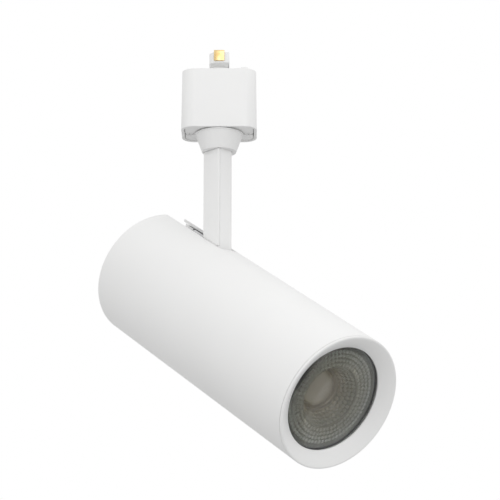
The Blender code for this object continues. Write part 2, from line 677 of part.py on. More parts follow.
def build_bracket(tilt):
    """The pressed steel channel under the slot, which carries the tilt pin."""
    bracket = lamp_block("pivot_bracket", (0.1000, CHEEK_BACK), (-CHEEK_OUTER, CHEEK_OUTER),
                         (FLOOR_LOW, FLOOR_HIGH), tilt)
    sides = ((CHEEK_INNER, CHEEK_OUTER), (-CHEEK_OUTER, -CHEEK_INNER))
    cheeks = [lamp_corners((CHEEK_FRONT, CHEEK_BACK), side, (FLOOR_LOW, CHEEK_TOP)) for side in sides]
    join(bracket, blocks("bracket_cheeks", cheeks, tilt))
    across = (math.pi / 2, 0, 0)
    openings = [rod("cheek_bores", PIN_RADIUS + RUNNING, -0.0100, 0.0100, tilt, (0, 0, 0), across)]
    for end, station in zip(("front", "rear"), BRACKET_SCREW_STATIONS):
        openings.append(rod(f"bracket_hole_{end}", 0.0017, -0.0030, 0.0030, tilt,
                            in_lamp(station, 0, FLOOR_HIGH)))
        screw(f"bracket_screw_{end}", 0.0028, 0.0018, 0.0014, 0.0095, tilt,
              in_lamp(station, 0, FLOOR_HIGH + GAP), (0, 0, 0))
    cut(bracket, *openings)
    finish(bracket, STEEL)


def build_pivot(tilt):
    head_seat = CHEEK_OUTER + GAP
    nut_far = head_seat + 0.0032
    bolt = turned("pivot_bolt", [
        (0, -nut_far - 0.0010), (PIN_RADIUS, -nut_far - 0.0010), (PIN_RADIUS, head_seat),
        (0.0036, head_seat), (0.0036, head_seat + 0.0016), (0.0028, head_seat + 0.0024),
        (0, head_seat + 0.0024),
    ], tilt, (0, 0, 0), (math.pi / 2, 0, 0), SMALL_ROUND)
    socket = rod("bolt_socket", 0.0013, head_seat + 0.0012, head_seat + 0.0040, tilt, (0, 0, 0),
                 (math.pi / 2, 0, 0))
    finish(cut(bolt, socket), STEEL)
    nut = loft("pivot_nut", [at_height(hexagon(0.0070), head_seat), at_height(hexagon(0.0070), nut_far)],
               tilt, (0, 0, 0), (-math.pi / 2, 0, 0))
    finish(cut(nut, rod("pivot_nut_bore", PIN_RADIUS + RUNNING, head_seat - TINY, nut_far + TINY, tilt,
                        (0, 0, 0), (-math.pi / 2, 0, 0))), STEEL)
    inner, outer, near, far = PIN_RADIUS + RUNNING, WASHER_RADIUS, SINK_FLOOR + GAP, CHEEK_INNER - GAP
    for side, turn in (("left", -math.pi / 2), ("right", math.pi / 2)):
        finish(turned(f"friction_washer_{side}", [
            (inner, near), (outer, near), (outer, far), (inner, far),
        ], tilt, (0, 0, 0), (turn, 0, 0), SMALL_ROUND), GREY_NYLON)


def build_driver(tilt):
    """The driver: a tray with its board, transformer and capacitor, closed by a lid."""
    front, back, half, low, lid = 0.1020, 0.1700, 0.0190, -0.0240, 0.0060
    wall = 0.0015
    tray = lamp_block("driver_tray", (front, back), (-half, half), (low, lid - GAP), tilt)
    hollow = lamp_block("tray_hollow", (front + wall, back - wall), (-half + wall, half - wall),
                        (low + wall, lid + TINY), tilt)
    notch = lamp_block("tray_cable_notch", (front - TINY, back + TINY), (-0.0030, 0.0030),
                       (-0.0010, lid + TINY), tilt)
    cut(tray, hollow, notch)
    finish(tray, WHITE_PLASTIC)
    finish(lamp_block("driver_lid", (front, back), (-half, half), (lid, lid + 0.0020), tilt),
           WHITE_PLASTIC)
    finish(lamp_block("thermal_pad", (front + TINY, 0.1190), (-0.0100, 0.0100),
                      (lid + 0.0023, 0.0097), tilt), SILICONE)
    board_top = -0.0174
    finish(lamp_block("driver_board", (front + 0.0020, back - 0.0020), (-0.0170, 0.0170),
                      (board_top - 0.0016, board_top), tilt), CIRCUIT_GREEN)
    core = lamp_block("driver_transformer", (0.1240, 0.1420), (-0.0080, 0.0080),
                      (board_top + GAP, -0.0020), tilt)
    winding = lamp_block("transformer_winding", (0.1220, 0.1440), (-0.0050, 0.0050),
                         (-0.0150, -0.0045), tilt)
    finish(join(core, winding), COPPER_TAPE)
    finish(rod("driver_capacitor", 0.0050, board_top + GAP, 0.0, tilt,
               in_lamp(0.1560, 0.0060, 0)), BLACK_PLASTIC)


def build_rear(tilt):
    """The vented rear cap, the posts that carry it, and its screws."""
    cap = lamp_ring("rear_cap", [
        (0, CAP_FRONT), (SINK_RADIUS, CAP_FRONT), (SINK_RADIUS, CAP_BACK), (0, CAP_BACK),
    ], tilt)
    past = (CAP_FRONT - TINY, CAP_BACK + TINY)
    vents = []
    for number in range(-3, 4):
        across = number * 0.0052
        vents.append(lamp_corners(past, (across - 0.0011, across + 0.0011), (-0.0150, 0.0130)))
    openings = [
        lamp_block("arm_notch", past, (-0.0070, 0.0070), (0.0210, 0.0500), tilt),
        blocks("cap_vents", vents, tilt),
    ]
    for side, place in POST_PLACES.items():
        openings.append(lamp_rod(f"cap_hole_{side}", 0.0018, past, place, tilt))
        post = lamp_rod(f"cap_post_{side}", POST_RADIUS, (FIN_END + GAP, CAP_FRONT - GAP), place, tilt)
        cut(post, lamp_rod(f"post_thread_{side}", 0.0016, (0.1640, CAP_FRONT + TINY), place, tilt))
        finish(post, ALUMINIUM)
        screw(f"cap_screw_{side}", 0.0027, 0.0017, 0.0013, 0.0110, tilt,
              in_lamp(CAP_BACK + GAP, *place), FACING_REAR)
    lips = [
        lamp_corners((CHEEK_BACK + 0.0007, CAP_FRONT + TINY), side, (0.0215, 0.0346))
        for side in ((0.0072, 0.0080), (-0.0080, -0.0072))
    ]
    cut(cap, *openings)
    join(cap, blocks("cap_lips", lips, tilt))
    finish(cap, WHITE_PLASTIC)


# ---- The whole spotlight ----------------------------------------------------------------

def build_spotlight():
    clear_scene()
    build_housing()
    build_bottom_plate()
    build_bush()
    build_contact_carrier()
    build_contacts()
    build_leads()
    build_lock()
    pan = axis_empty("pan_axis", (0, 0, 0), (0, 0, math.radians(HEADING_DEG)))
    build_swivel(pan)
    build_arm(pan)
    tilt = axis_empty("tilt_axis", (0, 0, -PIN_DROP), (0, math.radians(TILT_DEG), 0), pan)
    build_tube(tilt)
    build_bezel(tilt)
    build_optics(tilt)
    build_led(tilt)
    build_heat_sink(tilt)
    build_bracket(tilt)
    build_pivot(tilt)
    build_driver(tilt)
    build_rear(tilt)


build_spotlight()
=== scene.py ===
import json
import math

import bmesh
import bpy
from mathutils import Matrix, Vector


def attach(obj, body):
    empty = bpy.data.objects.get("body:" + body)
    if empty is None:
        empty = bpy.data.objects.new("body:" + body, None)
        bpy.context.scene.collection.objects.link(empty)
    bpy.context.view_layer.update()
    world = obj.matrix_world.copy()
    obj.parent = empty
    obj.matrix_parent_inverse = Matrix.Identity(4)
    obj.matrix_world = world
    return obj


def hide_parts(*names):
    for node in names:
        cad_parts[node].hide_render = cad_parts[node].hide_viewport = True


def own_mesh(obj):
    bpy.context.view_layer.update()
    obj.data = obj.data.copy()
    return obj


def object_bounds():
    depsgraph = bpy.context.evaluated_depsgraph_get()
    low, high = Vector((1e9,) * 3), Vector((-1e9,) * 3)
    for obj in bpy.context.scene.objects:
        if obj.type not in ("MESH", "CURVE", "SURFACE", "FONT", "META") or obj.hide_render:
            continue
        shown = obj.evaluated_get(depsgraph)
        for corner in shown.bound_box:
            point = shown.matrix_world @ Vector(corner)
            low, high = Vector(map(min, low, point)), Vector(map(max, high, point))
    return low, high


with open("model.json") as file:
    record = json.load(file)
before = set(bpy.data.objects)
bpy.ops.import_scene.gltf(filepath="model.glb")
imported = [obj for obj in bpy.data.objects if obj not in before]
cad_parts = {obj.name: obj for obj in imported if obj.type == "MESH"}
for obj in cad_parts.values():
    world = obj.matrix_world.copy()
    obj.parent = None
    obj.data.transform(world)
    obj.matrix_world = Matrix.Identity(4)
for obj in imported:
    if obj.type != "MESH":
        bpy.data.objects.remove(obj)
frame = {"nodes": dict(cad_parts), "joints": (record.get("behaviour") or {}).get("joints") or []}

cad_box = [list(corner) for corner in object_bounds()]

# ---- Camera and studio ---------------------------------------------------------------
# The lamp is seen from in front and a little below, as it hangs under its track, through
# a long lens. A pale floor lies a room's height below it. The walls and ceiling give most of
# the light, and large soft panels in front and at the sides model its form.

CAMERA_PLACE = (0.0177, -1.0340, -0.3810)
CAMERA_RISE_DEG = 15.0
LENS_MM, SENSOR_MM = 136.4, 36.0
CLIP_START = 0.05
FLOOR_HEIGHT = -2.6
FLOOR_RADIUS = 1.0
DIM_BELOW, BRIGHT_ABOVE = -0.20, -0.04
DIM_LEVEL, BRIGHT_LEVEL, SEEN_LEVEL = 0.54, 0.85, 1.0

bpy.ops.object.select_all(action="DESELECT")
bpy.ops.object.camera_add(
    location=CAMERA_PLACE, rotation=(math.radians(90 + CAMERA_RISE_DEG), 0, 0)
)
camera = bpy.context.object
camera.data.lens = LENS_MM
camera.data.sensor_width = SENSOR_MM
camera.data.clip_start = CLIP_START
bpy.context.scene.camera = camera
bpy.context.scene.view_settings.view_transform = "Standard"


def soft_panel(name, place, target, size, watts, mirrored=True):
    """A square softbox that faces a target. One that isn't mirrored shows in no reflection."""
    bpy.ops.object.light_add(type="AREA", location=place)
    panel = bpy.context.object
    panel.name = name
    panel.data.shape = "SQUARE"
    panel.data.size = size
    panel.data.energy = watts
    panel.visible_camera = False
    panel.visible_glossy = mirrored
    aim = Vector(target) - Vector(place)
    panel.rotation_euler = aim.to_track_quat("-Z", "Y").to_euler()


lamp_middle = (Vector(cad_box[0]) + Vector(cad_box[1])) / 2
soft_panel("top_panel", (0.55, -0.25, 1.10), lamp_middle, size=1.3, watts=2.0)
soft_panel("front_panel", (0.30, -1.80, 0.25), lamp_middle, size=1.0, watts=5.0)
soft_panel("right_panel", (1.30, -1.20, -0.30), lamp_middle, size=1.0, watts=1.6, mirrored=False)
soft_panel("left_panel", (-1.30, -1.10, -0.10), lamp_middle, size=1.0, watts=2.4)

# The room's lower part is dimmer, so undersides are shaded. To the camera the room is white.
world = bpy.data.worlds.new("studio_air")
world.use_nodes = True
bpy.context.scene.world = world
air = world.node_tree
sky = air.nodes["Background"]
sky.inputs["Color"].default_value = (1.0, 1.0, 1.0, 1.0)
way = air.nodes.new("ShaderNodeTexCoord")
parts = air.nodes.new("ShaderNodeSeparateXYZ")
height = air.nodes.new("ShaderNodeMapRange")
height.inputs["From Min"].default_value = DIM_BELOW
height.inputs["From Max"].default_value = BRIGHT_ABOVE
height.inputs["To Min"].default_value = DIM_LEVEL
height.inputs["To Max"].default_value = BRIGHT_LEVEL
seen = air.nodes.new("ShaderNodeLightPath")
level = air.nodes.new("ShaderNodeMapRange")
level.inputs["To Max"].default_value = SEEN_LEVEL
air.links.new(way.outputs["Generated"], parts.inputs["Vector"])
air.links.new(parts.outputs["Z"], height.inputs["Value"])
air.links.new(height.outputs["Result"], level.inputs["To Min"])
air.links.new(seen.outputs["Is Camera Ray"], level.inputs["Value"])
air.links.new(level.outputs["Result"], sky.inputs["Strength"])


def new_material(name, colour, roughness, metallic=0.0):
    """A material with a Principled shader, its flat values set on the shader's sockets."""
    material = bpy.data.materials.new(name)
    material.use_nodes = True
    shader = material.node_tree.nodes["Principled BSDF"]
    shader.inputs["Base Color"].default_value = (*colour, 1.0)
    shader.inputs["Roughness"].default_value = roughness
    shader.inputs["Metallic"].default_value = metallic
    return material, material.node_tree, shader


bpy.ops.mesh.primitive_circle_add(
    vertices=96, radius=FLOOR_RADIUS, fill_type="NGON", location=(0, 0, FLOOR_HEIGHT)
)
floor = bpy.context.object
floor.name = "studio_floor"
paper, _, _ = new_material("floor_paper", (0.80, 0.80, 0.79), 0.9)
floor.data.materials.append(paper)

# ---- Adapter housing -----------------------------------------------------------------
# The box that hangs under the track is one polycarbonate moulding, open at the bottom,
# with round upright corners and a little draft. The other adapter pieces mount in it.

HOUSING_TOP = (0.0424, 0.0288)
HOUSING_BOTTOM = (0.0432, 0.0292)
HOUSING_HEIGHT = 0.0352
HOUSING_CORNER = 0.0072
HOUSING_WALL = 0.0018
HOUSING_CEILING = 0.0020
NECK_HOLE_RADIUS = 0.0060
TONGUE_OPENING = ((0.0122, -0.0058), (0.0168, 0.0058))
EARTH_OPENING = ((-0.0168, -0.0028), (-0.0132, 0.0028))
GRIP_WINDOW = ((0.0089, -0.0240), (0.0155, -0.0116))
TOP_CUT_LOW, TOP_CUT_HIGH = -0.004, 0.001
WALL_CUT_FRONT, WALL_CUT_BACK = 0.011, 0.016
SMOOTH_ANGLE = math.radians(32)
FACING = 0.9
POLYCARBONATE_IOR = 1.58


def only(piece):
    """Makes one piece the only one selected, and the active one."""
    bpy.ops.object.select_all(action="DESELECT")
    piece.select_set(True)
    bpy.context.view_layer.objects.active = piece


def start_block(name, low, high):
    """A box between two corners, with its size in its mesh."""
    low, high = Vector(low), Vector(high)
    bpy.ops.object.select_all(action="DESELECT")
    bpy.ops.mesh.primitive_cube_add(size=1.0, location=(low + high) / 2)
    piece = bpy.context.object
    piece.name = name
    piece.scale = high - low
    bpy.ops.object.transform_apply(location=True, rotation=True, scale=True)
    return piece


def start_rod(name, radius, low, high, sides, at=(0, 0), along="Z"):
    """A round bar between two heights, upright or lying along Y."""
    bpy.ops.object.select_all(action="DESELECT")
    middle = (low + high) / 2
    place = (at[0], at[1], middle) if along == "Z" else (at[0], middle, at[1])
    turn = (0, 0, 0) if along == "Z" else (math.radians(90), 0, 0)
    bpy.ops.mesh.primitive_cylinder_add(
        vertices=sides, radius=radius, depth=high - low, location=place, rotation=turn
    )
    piece = bpy.context.object
    piece.name = name
    bpy.ops.object.transform_apply(location=True, rotation=True, scale=True)
    return piece


def edit(piece):
    """Opens a piece's mesh for editing."""
    only(piece)
    bpy.ops.object.mode_set(mode="EDIT")


def done():
    """Closes the mesh that is being edited."""
    bpy.ops.object.mode_set(mode="OBJECT")


def pick_faces(piece, wanted):
    """In edit mode, selects the faces whose middle and normal pass the test."""
    bpy.ops.mesh.select_mode(type="FACE")
    bpy.ops.mesh.select_all(action="DESELECT")
    work = bmesh.from_edit_mesh(piece.data)
    for face in work.faces:
        face.select_set(bool(wanted(face.calc_center_median(), face.normal)))
    bmesh.update_edit_mesh(piece.data)


def pick_edges(piece, wanted):
    """In edit mode, selects the edges whose middle and direction pass the test."""
    bpy.ops.mesh.select_mode(type="EDGE")
    bpy.ops.mesh.select_all(action="DESELECT")
    work = bmesh.from_edit_mesh(piece.data)
    for edge in work.edges:
        a, b = (vertex.co for vertex in edge.verts)
        edge.select_set(bool(wanted((a + b) / 2, (b - a).normalized())))
    bmesh.update_edit_mesh(piece.data)


def apply_modifier(piece, kind, **settings):
    """Adds one modifier with its settings and applies it at once."""
    step = piece.modifiers.new(kind.title(), kind)
    for name, value in settings.items():
        setattr(step, name, value)
    only(piece)
    bpy.ops.object.modifier_apply(modifier=step.name)


def cut_away(piece, *tools):
    """Cuts each tool's shape out of the piece and throws the tool away."""
    for tool in tools:
        apply_modifier(piece, "BOOLEAN", operation="DIFFERENCE", object=tool, solver="EXACT")
        bpy.data.objects.remove(tool)


def weld_on(piece, *others):
    """Joins each other shape to the piece as one closed body."""
    for other in others:
        apply_modifier(piece, "BOOLEAN", operation="UNION", object=other, solver="EXACT")
        bpy.data.objects.remove(other)


def soften(piece, width, segments=3):
    """Breaks the sharp edges, as a mould, a die or a deburring wheel leaves them."""
    apply_modifier(
        piece, "BEVEL", width=width, segments=segments, limit_method="ANGLE",
        angle_limit=SMOOTH_ANGLE, use_clamp_overlap=True,
    )


def seat(piece, place=None):
    """Takes a piece from the bench to its place, which goes into its mesh."""
    if place is not None:
        piece.matrix_world = place @ piece.matrix_world
    only(piece)
    bpy.ops.object.transform_apply(location=True, rotation=True, scale=True)
    bpy.ops.object.shade_smooth_by_angle(angle=SMOOTH_ANGLE)


def add_node(tree, kind, **values):
    """A shader node with its inputs or its settings given by name."""
    node = tree.nodes.new(kind)
    for name, value in values.items():
        socket = name.replace("_", " ").title()
        if socket in node.inputs:
            node.inputs[socket].default_value = value
        else:
            setattr(node, name, value)
    return node


def add_grain(tree, shader, size, height, strength=0.3):
    """A fine bump over the surface, from noise whose grains are that size in metres."""
    place = add_node(tree, "ShaderNodeTexCoord").outputs["Object"]
    noise = add_node(tree, "ShaderNodeTexNoise", scale=1.0 / size, detail=3.0)
    bump = add_node(tree, "ShaderNodeBump", strength=strength, distance=height)
    tree.links.new(place, noise.inputs["Vector"])
    tree.links.new(noise.outputs["Fac"], bump.inputs["Height"])
    tree.links.new(bump.outputs["Normal"], shader.inputs["Normal"])


def vary(tree, shader, socket, size, low, high):
    """Lets a value or a colour of the shader drift between two limits over patches."""
    place = add_node(tree, "ShaderNodeTexCoord").outputs["Object"]
    noise = add_node(tree, "ShaderNodeTexNoise", scale=1.0 / size, detail=4.0)
    tree.links.new(place, noise.inputs["Vector"])
    ramp = add_node(tree, "ShaderNodeValToRGB")
    ends = [level if isinstance(level, tuple) else (level,) * 3 for level in (low, high)]
    ramp.color_ramp.elements[0].position = 0.35
    ramp.color_ramp.elements[1].position = 0.65
    for element, end in zip(ramp.color_ramp.elements, ends):
        element.color = (*end, 1.0)
    tree.links.new(noise.outputs["Fac"], ramp.inputs["Fac"])
    tree.links.new(ramp.outputs["Color"], shader.inputs[socket])


def moulded(name, colour, roughness=0.38):
    """Injection-moulded plastic: a spark-eroded grain and a slight drift in its sheen."""
    material, tree, shader = new_material(name, colour, roughness)
    shader.inputs["IOR"].default_value = POLYCARBONATE_IOR
    add_grain(tree, shader, 0.00035, 0.00002)
    vary(tree, shader, "Roughness", 0.012, roughness - 0.05, roughness + 0.06)
    vary(tree, shader, "Base Color", 0.03, tuple(c * 0.985 for c in colour), colour)
    return material


white_plastic = moulded("white_polycarbonate", (0.87, 0.87, 0.865))

housing = start_block(
    "adapter_housing_shell",
    (-HOUSING_TOP[0] / 2, -HOUSING_TOP[1] / 2, -HOUSING_HEIGHT),
    (HOUSING_TOP[0] / 2, HOUSING_TOP[1] / 2, 0),
)
edit(housing)
pick_edges(housing, lambda middle, way: abs(way.z) > FACING)
bpy.ops.mesh.bevel(offset=HOUSING_CORNER, segments=14, affect="EDGES")
pick_faces(housing, lambda middle, normal: normal.z < -FACING)
bpy.ops.transform.resize(
    value=(HOUSING_BOTTOM[0] / HOUSING_TOP[0], HOUSING_BOTTOM[1] / HOUSING_TOP[1], 1)
)
bpy.ops.mesh.inset(thickness=HOUSING_WALL)
bpy.ops.mesh.extrude_region_move(
    TRANSFORM_OT_translate={"value": (0, 0, HOUSING_HEIGHT - HOUSING_CEILING)}
)
done()
soften(housing, 0.00035)
cut_away(
    housing,
    start_rod("neck_cutter", NECK_HOLE_RADIUS, TOP_CUT_LOW, TOP_CUT_HIGH, 48),
    start_block(
        "tongue_cutter", (*TONGUE_OPENING[0], TOP_CUT_LOW), (*TONGUE_OPENING[1], TOP_CUT_HIGH)
    ),
    start_block(
        "earth_cutter", (*EARTH_OPENING[0], TOP_CUT_LOW), (*EARTH_OPENING[1], TOP_CUT_HIGH)
    ),
    start_block(
        "window_cutter", (GRIP_WINDOW[0][0], WALL_CUT_FRONT, GRIP_WINDOW[0][1]),
        (GRIP_WINDOW[1][0], WALL_CUT_BACK, GRIP_WINDOW[1][1]),
    ),
)
seat(housing)
housing.data.materials.append(white_plastic)
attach(housing, "adapter")
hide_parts("adapter_housing")

# ---- Adapter bottom plate and its screws ---------------------------------------------
# A flat moulded plate closes the housing from below, a hair inside its walls, so a thin
# line shows round it. It holds the swivel's bush and is fixed by two white-lacquered screws.

PLATE_LOW, PLATE_HIGH = -0.0348, -0.0325
PLATE_INSET = 0.0021
BUSH_HOLE_RADIUS = 0.0073
PLATE_CUT_LOW, PLATE_CUT_HIGH = -0.037, -0.032
PLATE_SCREW_X = 0.0170
SINK_RADIUS, SINK_DEPTH = 0.0026, 0.0012


def round_corners(piece, radius, segments=10):
    """Rounds the upright corners of a block."""
    edit(piece)
    pick_edges(piece, lambda middle, way: abs(way.z) > FACING)
    bpy.ops.mesh.bevel(offset=radius, segments=segments, affect="EDGES")
    done()


def lathe(name, outline, sides, closed=True):
    """Draws an outline of (radius, height) points and spins it round the Z axis."""
    bpy.ops.object.select_all(action="DESELECT")
    bpy.ops.mesh.primitive_plane_add(size=0.001)
    piece = bpy.context.object
    piece.name = name
    bpy.ops.object.mode_set(mode="EDIT")
    bpy.ops.mesh.select_mode(type="VERT")
    bpy.ops.mesh.merge(type="CENTER")
    bpy.ops.transform.translate(value=(outline[0][0], 0, outline[0][1]))
    for (r0, z0), (r1, z1) in zip(outline, outline[1:]):
        bpy.ops.mesh.extrude_region_move(TRANSFORM_OT_translate={"value": (r1 - r0, 0, z1 - z0)})
    if closed:
        work = bmesh.from_edit_mesh(piece.data)
        for vertex in work.verts:
            vertex.select_set(len(vertex.link_edges) == 1)
        bmesh.update_edit_mesh(piece.data)
        bpy.ops.mesh.edge_face_add()
    bpy.ops.mesh.select_all(action="SELECT")
    bpy.ops.mesh.spin(steps=sides, angle=math.tau, center=(0, 0, 0), axis=(0, 0, 1))
    bpy.ops.mesh.select_all(action="SELECT")
    bpy.ops.mesh.remove_doubles(threshold=0.000002)
    bpy.ops.mesh.normals_make_consistent(inside=False)
    done()
    return piece


def plated(name, colour=(0.66, 0.66, 0.67), roughness=0.26):
    """Zinc-plated steel: a thin cloudy film that varies in gloss, with fine drawing marks."""
    material, tree, shader = new_material(name, colour, roughness, 1.0)
    add_grain(tree, shader, 0.0004, 0.00001, 0.25)
    vary(tree, shader, "Roughness", 0.004, roughness - 0.08, roughness + 0.12)
    vary(tree, shader, "Base Color", 0.006, tuple(c * 0.9 for c in colour), colour)
    return material


plate_length = HOUSING_BOTTOM[0] - 2 * PLATE_INSET
plate_width = HOUSING_BOTTOM[1] - 2 * PLATE_INSET
plate = start_block(
    "adapter_bottom_panel", (-plate_length / 2, -plate_width / 2, PLATE_LOW),
    (plate_length / 2, plate_width / 2, PLATE_HIGH),
)
round_corners(plate, HOUSING_CORNER - PLATE_INSET)
soften(plate, 0.00025)
cut_away(plate, start_rod("bush_cutter", BUSH_HOLE_RADIUS, PLATE_CUT_LOW, PLATE_CUT_HIGH, 64))
for x in (-PLATE_SCREW_X, PLATE_SCREW_X):
    cut_away(plate, start_rod(
        "sink_cutter", SINK_RADIUS, PLATE_CUT_LOW, PLATE_LOW + SINK_DEPTH, 32, (x, 0)
    ))
seat(plate)
plate.data.materials.append(white_plastic)
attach(plate, "adapter")
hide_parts("adapter_bottom_plate")

zinc = plated("zinc_plated_steel")
white_lacquer = moulded("white_lacquered_steel", (0.85, 0.85, 0.845), 0.34)


def make_screw(name, head_radius, head_height, shank_radius, length):
    """A pan-head screw standing on its shank's end, its head's underside at the origin, with
    a crosshead recess punched in its crown."""
    crown = head_height * 0.45
    piece = lathe(name, [
        (0, -length), (shank_radius * 0.6, -length), (shank_radius, -length + shank_radius * 0.6),
        (shank_radius, 0), (head_radius, 0), (head_radius, head_height - crown),
        (head_radius * 0.86, head_height - crown * 0.4), (head_radius * 0.55, head_height),
        (0, head_height),
    ], 32, closed=False)
    reach, slit = head_radius * 0.55, head_radius * 0.12
    floor_level = head_height * 0.42
    cut_away(
        piece,
        start_block("cross_a", (-reach, -slit, floor_level), (reach, slit, head_height * 1.5)),
        start_block("cross_b", (-slit, -reach, floor_level), (slit, reach, head_height * 1.5)),
    )
    return piece


for side, x in (("left", -PLATE_SCREW_X), ("right", PLATE_SCREW_X)):
    fixing = make_screw(
        f"bottom_screw_{side}", head_radius=0.0023, head_height=0.0010, shank_radius=0.0011,
        length=0.0095,
    )
    fixing.data.transform(Matrix.Rotation(math.pi, 4, "X"))
    seat(fixing, Matrix.Translation((x, 0, PLATE_LOW + 0.0009)))
    fixing.data.materials.append(white_lacquer)
    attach(fixing, "adapter")
    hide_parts(f"plate_screw_{side}")

# ---- Twist-in head with its brass contacts -------------------------------------------
# The carrier is a moulded T that enters the track's slot and turns under its lips. A brass
# blade is folded over each end of the T, and a brass finger beside it takes the earth.

HEAD_HALF = (0.0057, 0.0125)
HEAD_LOW, HEAD_HIGH = 0.0040, 0.0105
NECK_RADIUS = 0.0057
HEAD_ROUNDING = 0.0045
CARRIER_BASE = ((-0.0085, -0.0110, -0.0120), (0.0085, 0.0110, -0.0023))
LEAD_BORE_RADIUS = 0.0030
LEAF = 0.0006
CONTACT_GAP = 0.0003
BLADE_HALF_WIDTH, BLADE_FOOT = 0.0030, 0.0050
CONTACT_BREAK = 0.00018

head = start_block(
    "twist_in_head", (-HEAD_HALF[0], -HEAD_HALF[1], HEAD_LOW),
    (HEAD_HALF[0], HEAD_HALF[1], HEAD_HIGH),
)
edit(head)
pick_edges(head, lambda middle, way: abs(way.z) > FACING and middle.x * middle.y > 0)
bpy.ops.mesh.bevel(offset=HEAD_ROUNDING, segments=8, affect="EDGES")
done()
weld_on(
    head, start_rod("neck", NECK_RADIUS - 0.00002, -0.0060, HEAD_LOW + 0.001, 48),
    start_block("carrier_base", *CARRIER_BASE),
)
cut_away(head, start_rod("lead_cutter", LEAD_BORE_RADIUS, -0.0140, HEAD_LOW, 32))
soften(head, 0.0003, 2)
seat(head)
head.data.materials.append(white_plastic)
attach(head, "adapter")
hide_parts("contact_carrier")


def rolled_brass():
    """Bright rolled brass strip, with rolling lines and a slight tarnish."""
    material, tree, shader = new_material("brass_strip", (0.83, 0.63, 0.30), 0.22, 1.0)
    add_grain(tree, shader, 0.0003, 0.00001, 0.2)
    vary(tree, shader, "Base Color", 0.003, (0.70, 0.50, 0.22), (0.86, 0.66, 0.33))
    vary(tree, shader, "Roughness", 0.002, 0.16, 0.34)
    return material


brass = rolled_brass()

for name, node, side in (
    ("line_blade", "line_contact", 1), ("neutral_blade", "neutral_contact", -1)
):
    near = HEAD_HALF[1] + CONTACT_GAP
    across = sorted((side * near, side * (near + LEAF)))
    top = HEAD_HIGH + CONTACT_GAP
    blade = start_block(
        name, (-BLADE_HALF_WIDTH, across[0], BLADE_FOOT), (BLADE_HALF_WIDTH, across[1], top)
    )
    edit(blade)
    pick_faces(blade, lambda middle, normal: normal.z > FACING)
    bpy.ops.mesh.extrude_region_move(TRANSFORM_OT_translate={"value": (0, 0, LEAF)})
    pick_faces(
        blade,
        lambda middle, normal, side=side, top=top: normal.y * side < -FACING and middle.z > top,
    )
    bpy.ops.mesh.extrude_region_move(
        TRANSFORM_OT_translate={"value": (0, -side * (near - BLADE_HALF_WIDTH), 0)}
    )
    done()
    soften(blade, CONTACT_BREAK)
    seat(blade)
    blade.data.materials.append(brass)
    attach(blade, "adapter")
    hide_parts(node)

EARTH_X = (-0.0165, -0.0135)
EARTH_HALF_WIDTH, EARTH_LOW, EARTH_TOP = 0.0025, -0.0140, 0.0006
EARTH_RETURN = 0.0066
finger = start_block(
    "earth_finger", (EARTH_X[0], -EARTH_HALF_WIDTH, EARTH_LOW),
    (EARTH_X[0] + LEAF, EARTH_HALF_WIDTH, EARTH_TOP),
)
edit(finger)
pick_faces(finger, lambda middle, normal: normal.z > FACING)
bpy.ops.mesh.extrude_region_move(TRANSFORM_OT_translate={"value": (0, 0, LEAF)})
pick_faces(finger, lambda middle, normal: normal.x > FACING and middle.z > EARTH_TOP)
bpy.ops.mesh.extrude_region_move(
    TRANSFORM_OT_translate={"value": (EARTH_X[1] - EARTH_X[0] - 2 * LEAF, 0, 0)}
)
bpy.ops.mesh.extrude_region_move(TRANSFORM_OT_translate={"value": (LEAF, 0, 0)})
pick_faces(finger, lambda middle, normal: normal.z < -FACING and middle.x > EARTH_X[1] - LEAF)
bpy.ops.mesh.extrude_region_move(TRANSFORM_OT_translate={"value": (0, 0, -EARTH_RETURN)})
done()
soften(finger, CONTACT_BREAK)
seat(finger)
finger.data.materials.append(brass)
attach(finger, "adapter")
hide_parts("earth_contact")

# ---- Lock slider and its spring ------------------------------------------------------
# A moulded slider stands behind the back wall. Its tongue fills the track's slot so that the
# adapter can't turn back, and its ribbed grip shows in the window, to be pulled down.

GRIP_X = (0.0092, 0.0152)
TONGUE_X = (0.0125, 0.0165)
RIB_COUNT, RIB_FIRST, RIB_PITCH, RIB_GROOVE = 3, -0.0168, 0.0016, 0.0007
RIB_DEPTH = (0.0147, 0.0160)
slider = start_block("lock_slide", (GRIP_X[0], 0.0090, -0.0200), (GRIP_X[1], 0.0122, -0.0070))
weld_on(
    slider,
    start_block("bridge", (TONGUE_X[0], -0.0055, -0.0100), (TONGUE_X[1], 0.0100, -0.0070)),
    start_block("tongue", (TONGUE_X[0], -0.0055, -0.0080), (TONGUE_X[1], 0.0055, 0.0040)),
    start_block("shelf", (GRIP_X[0], 0.0066, -0.0200), (GRIP_X[1], 0.0122, -0.0175)),
    start_block("grip", (GRIP_X[0], 0.0118, -0.0180), (GRIP_X[1], 0.0152, -0.0120)),
)
for rib in range(RIB_COUNT):
    groove = RIB_FIRST + rib * RIB_PITCH
    cut_away(slider, start_block(
        "rib_cutter", (GRIP_X[0] - 0.001, RIB_DEPTH[0], groove),
        (GRIP_X[1] + 0.001, RIB_DEPTH[1], groove + RIB_GROOVE),
    ))
soften(slider, 0.0002, 2)
seat(slider)
slider.data.materials.append(white_plastic)
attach(slider, "lock")
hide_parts("lock_slider")

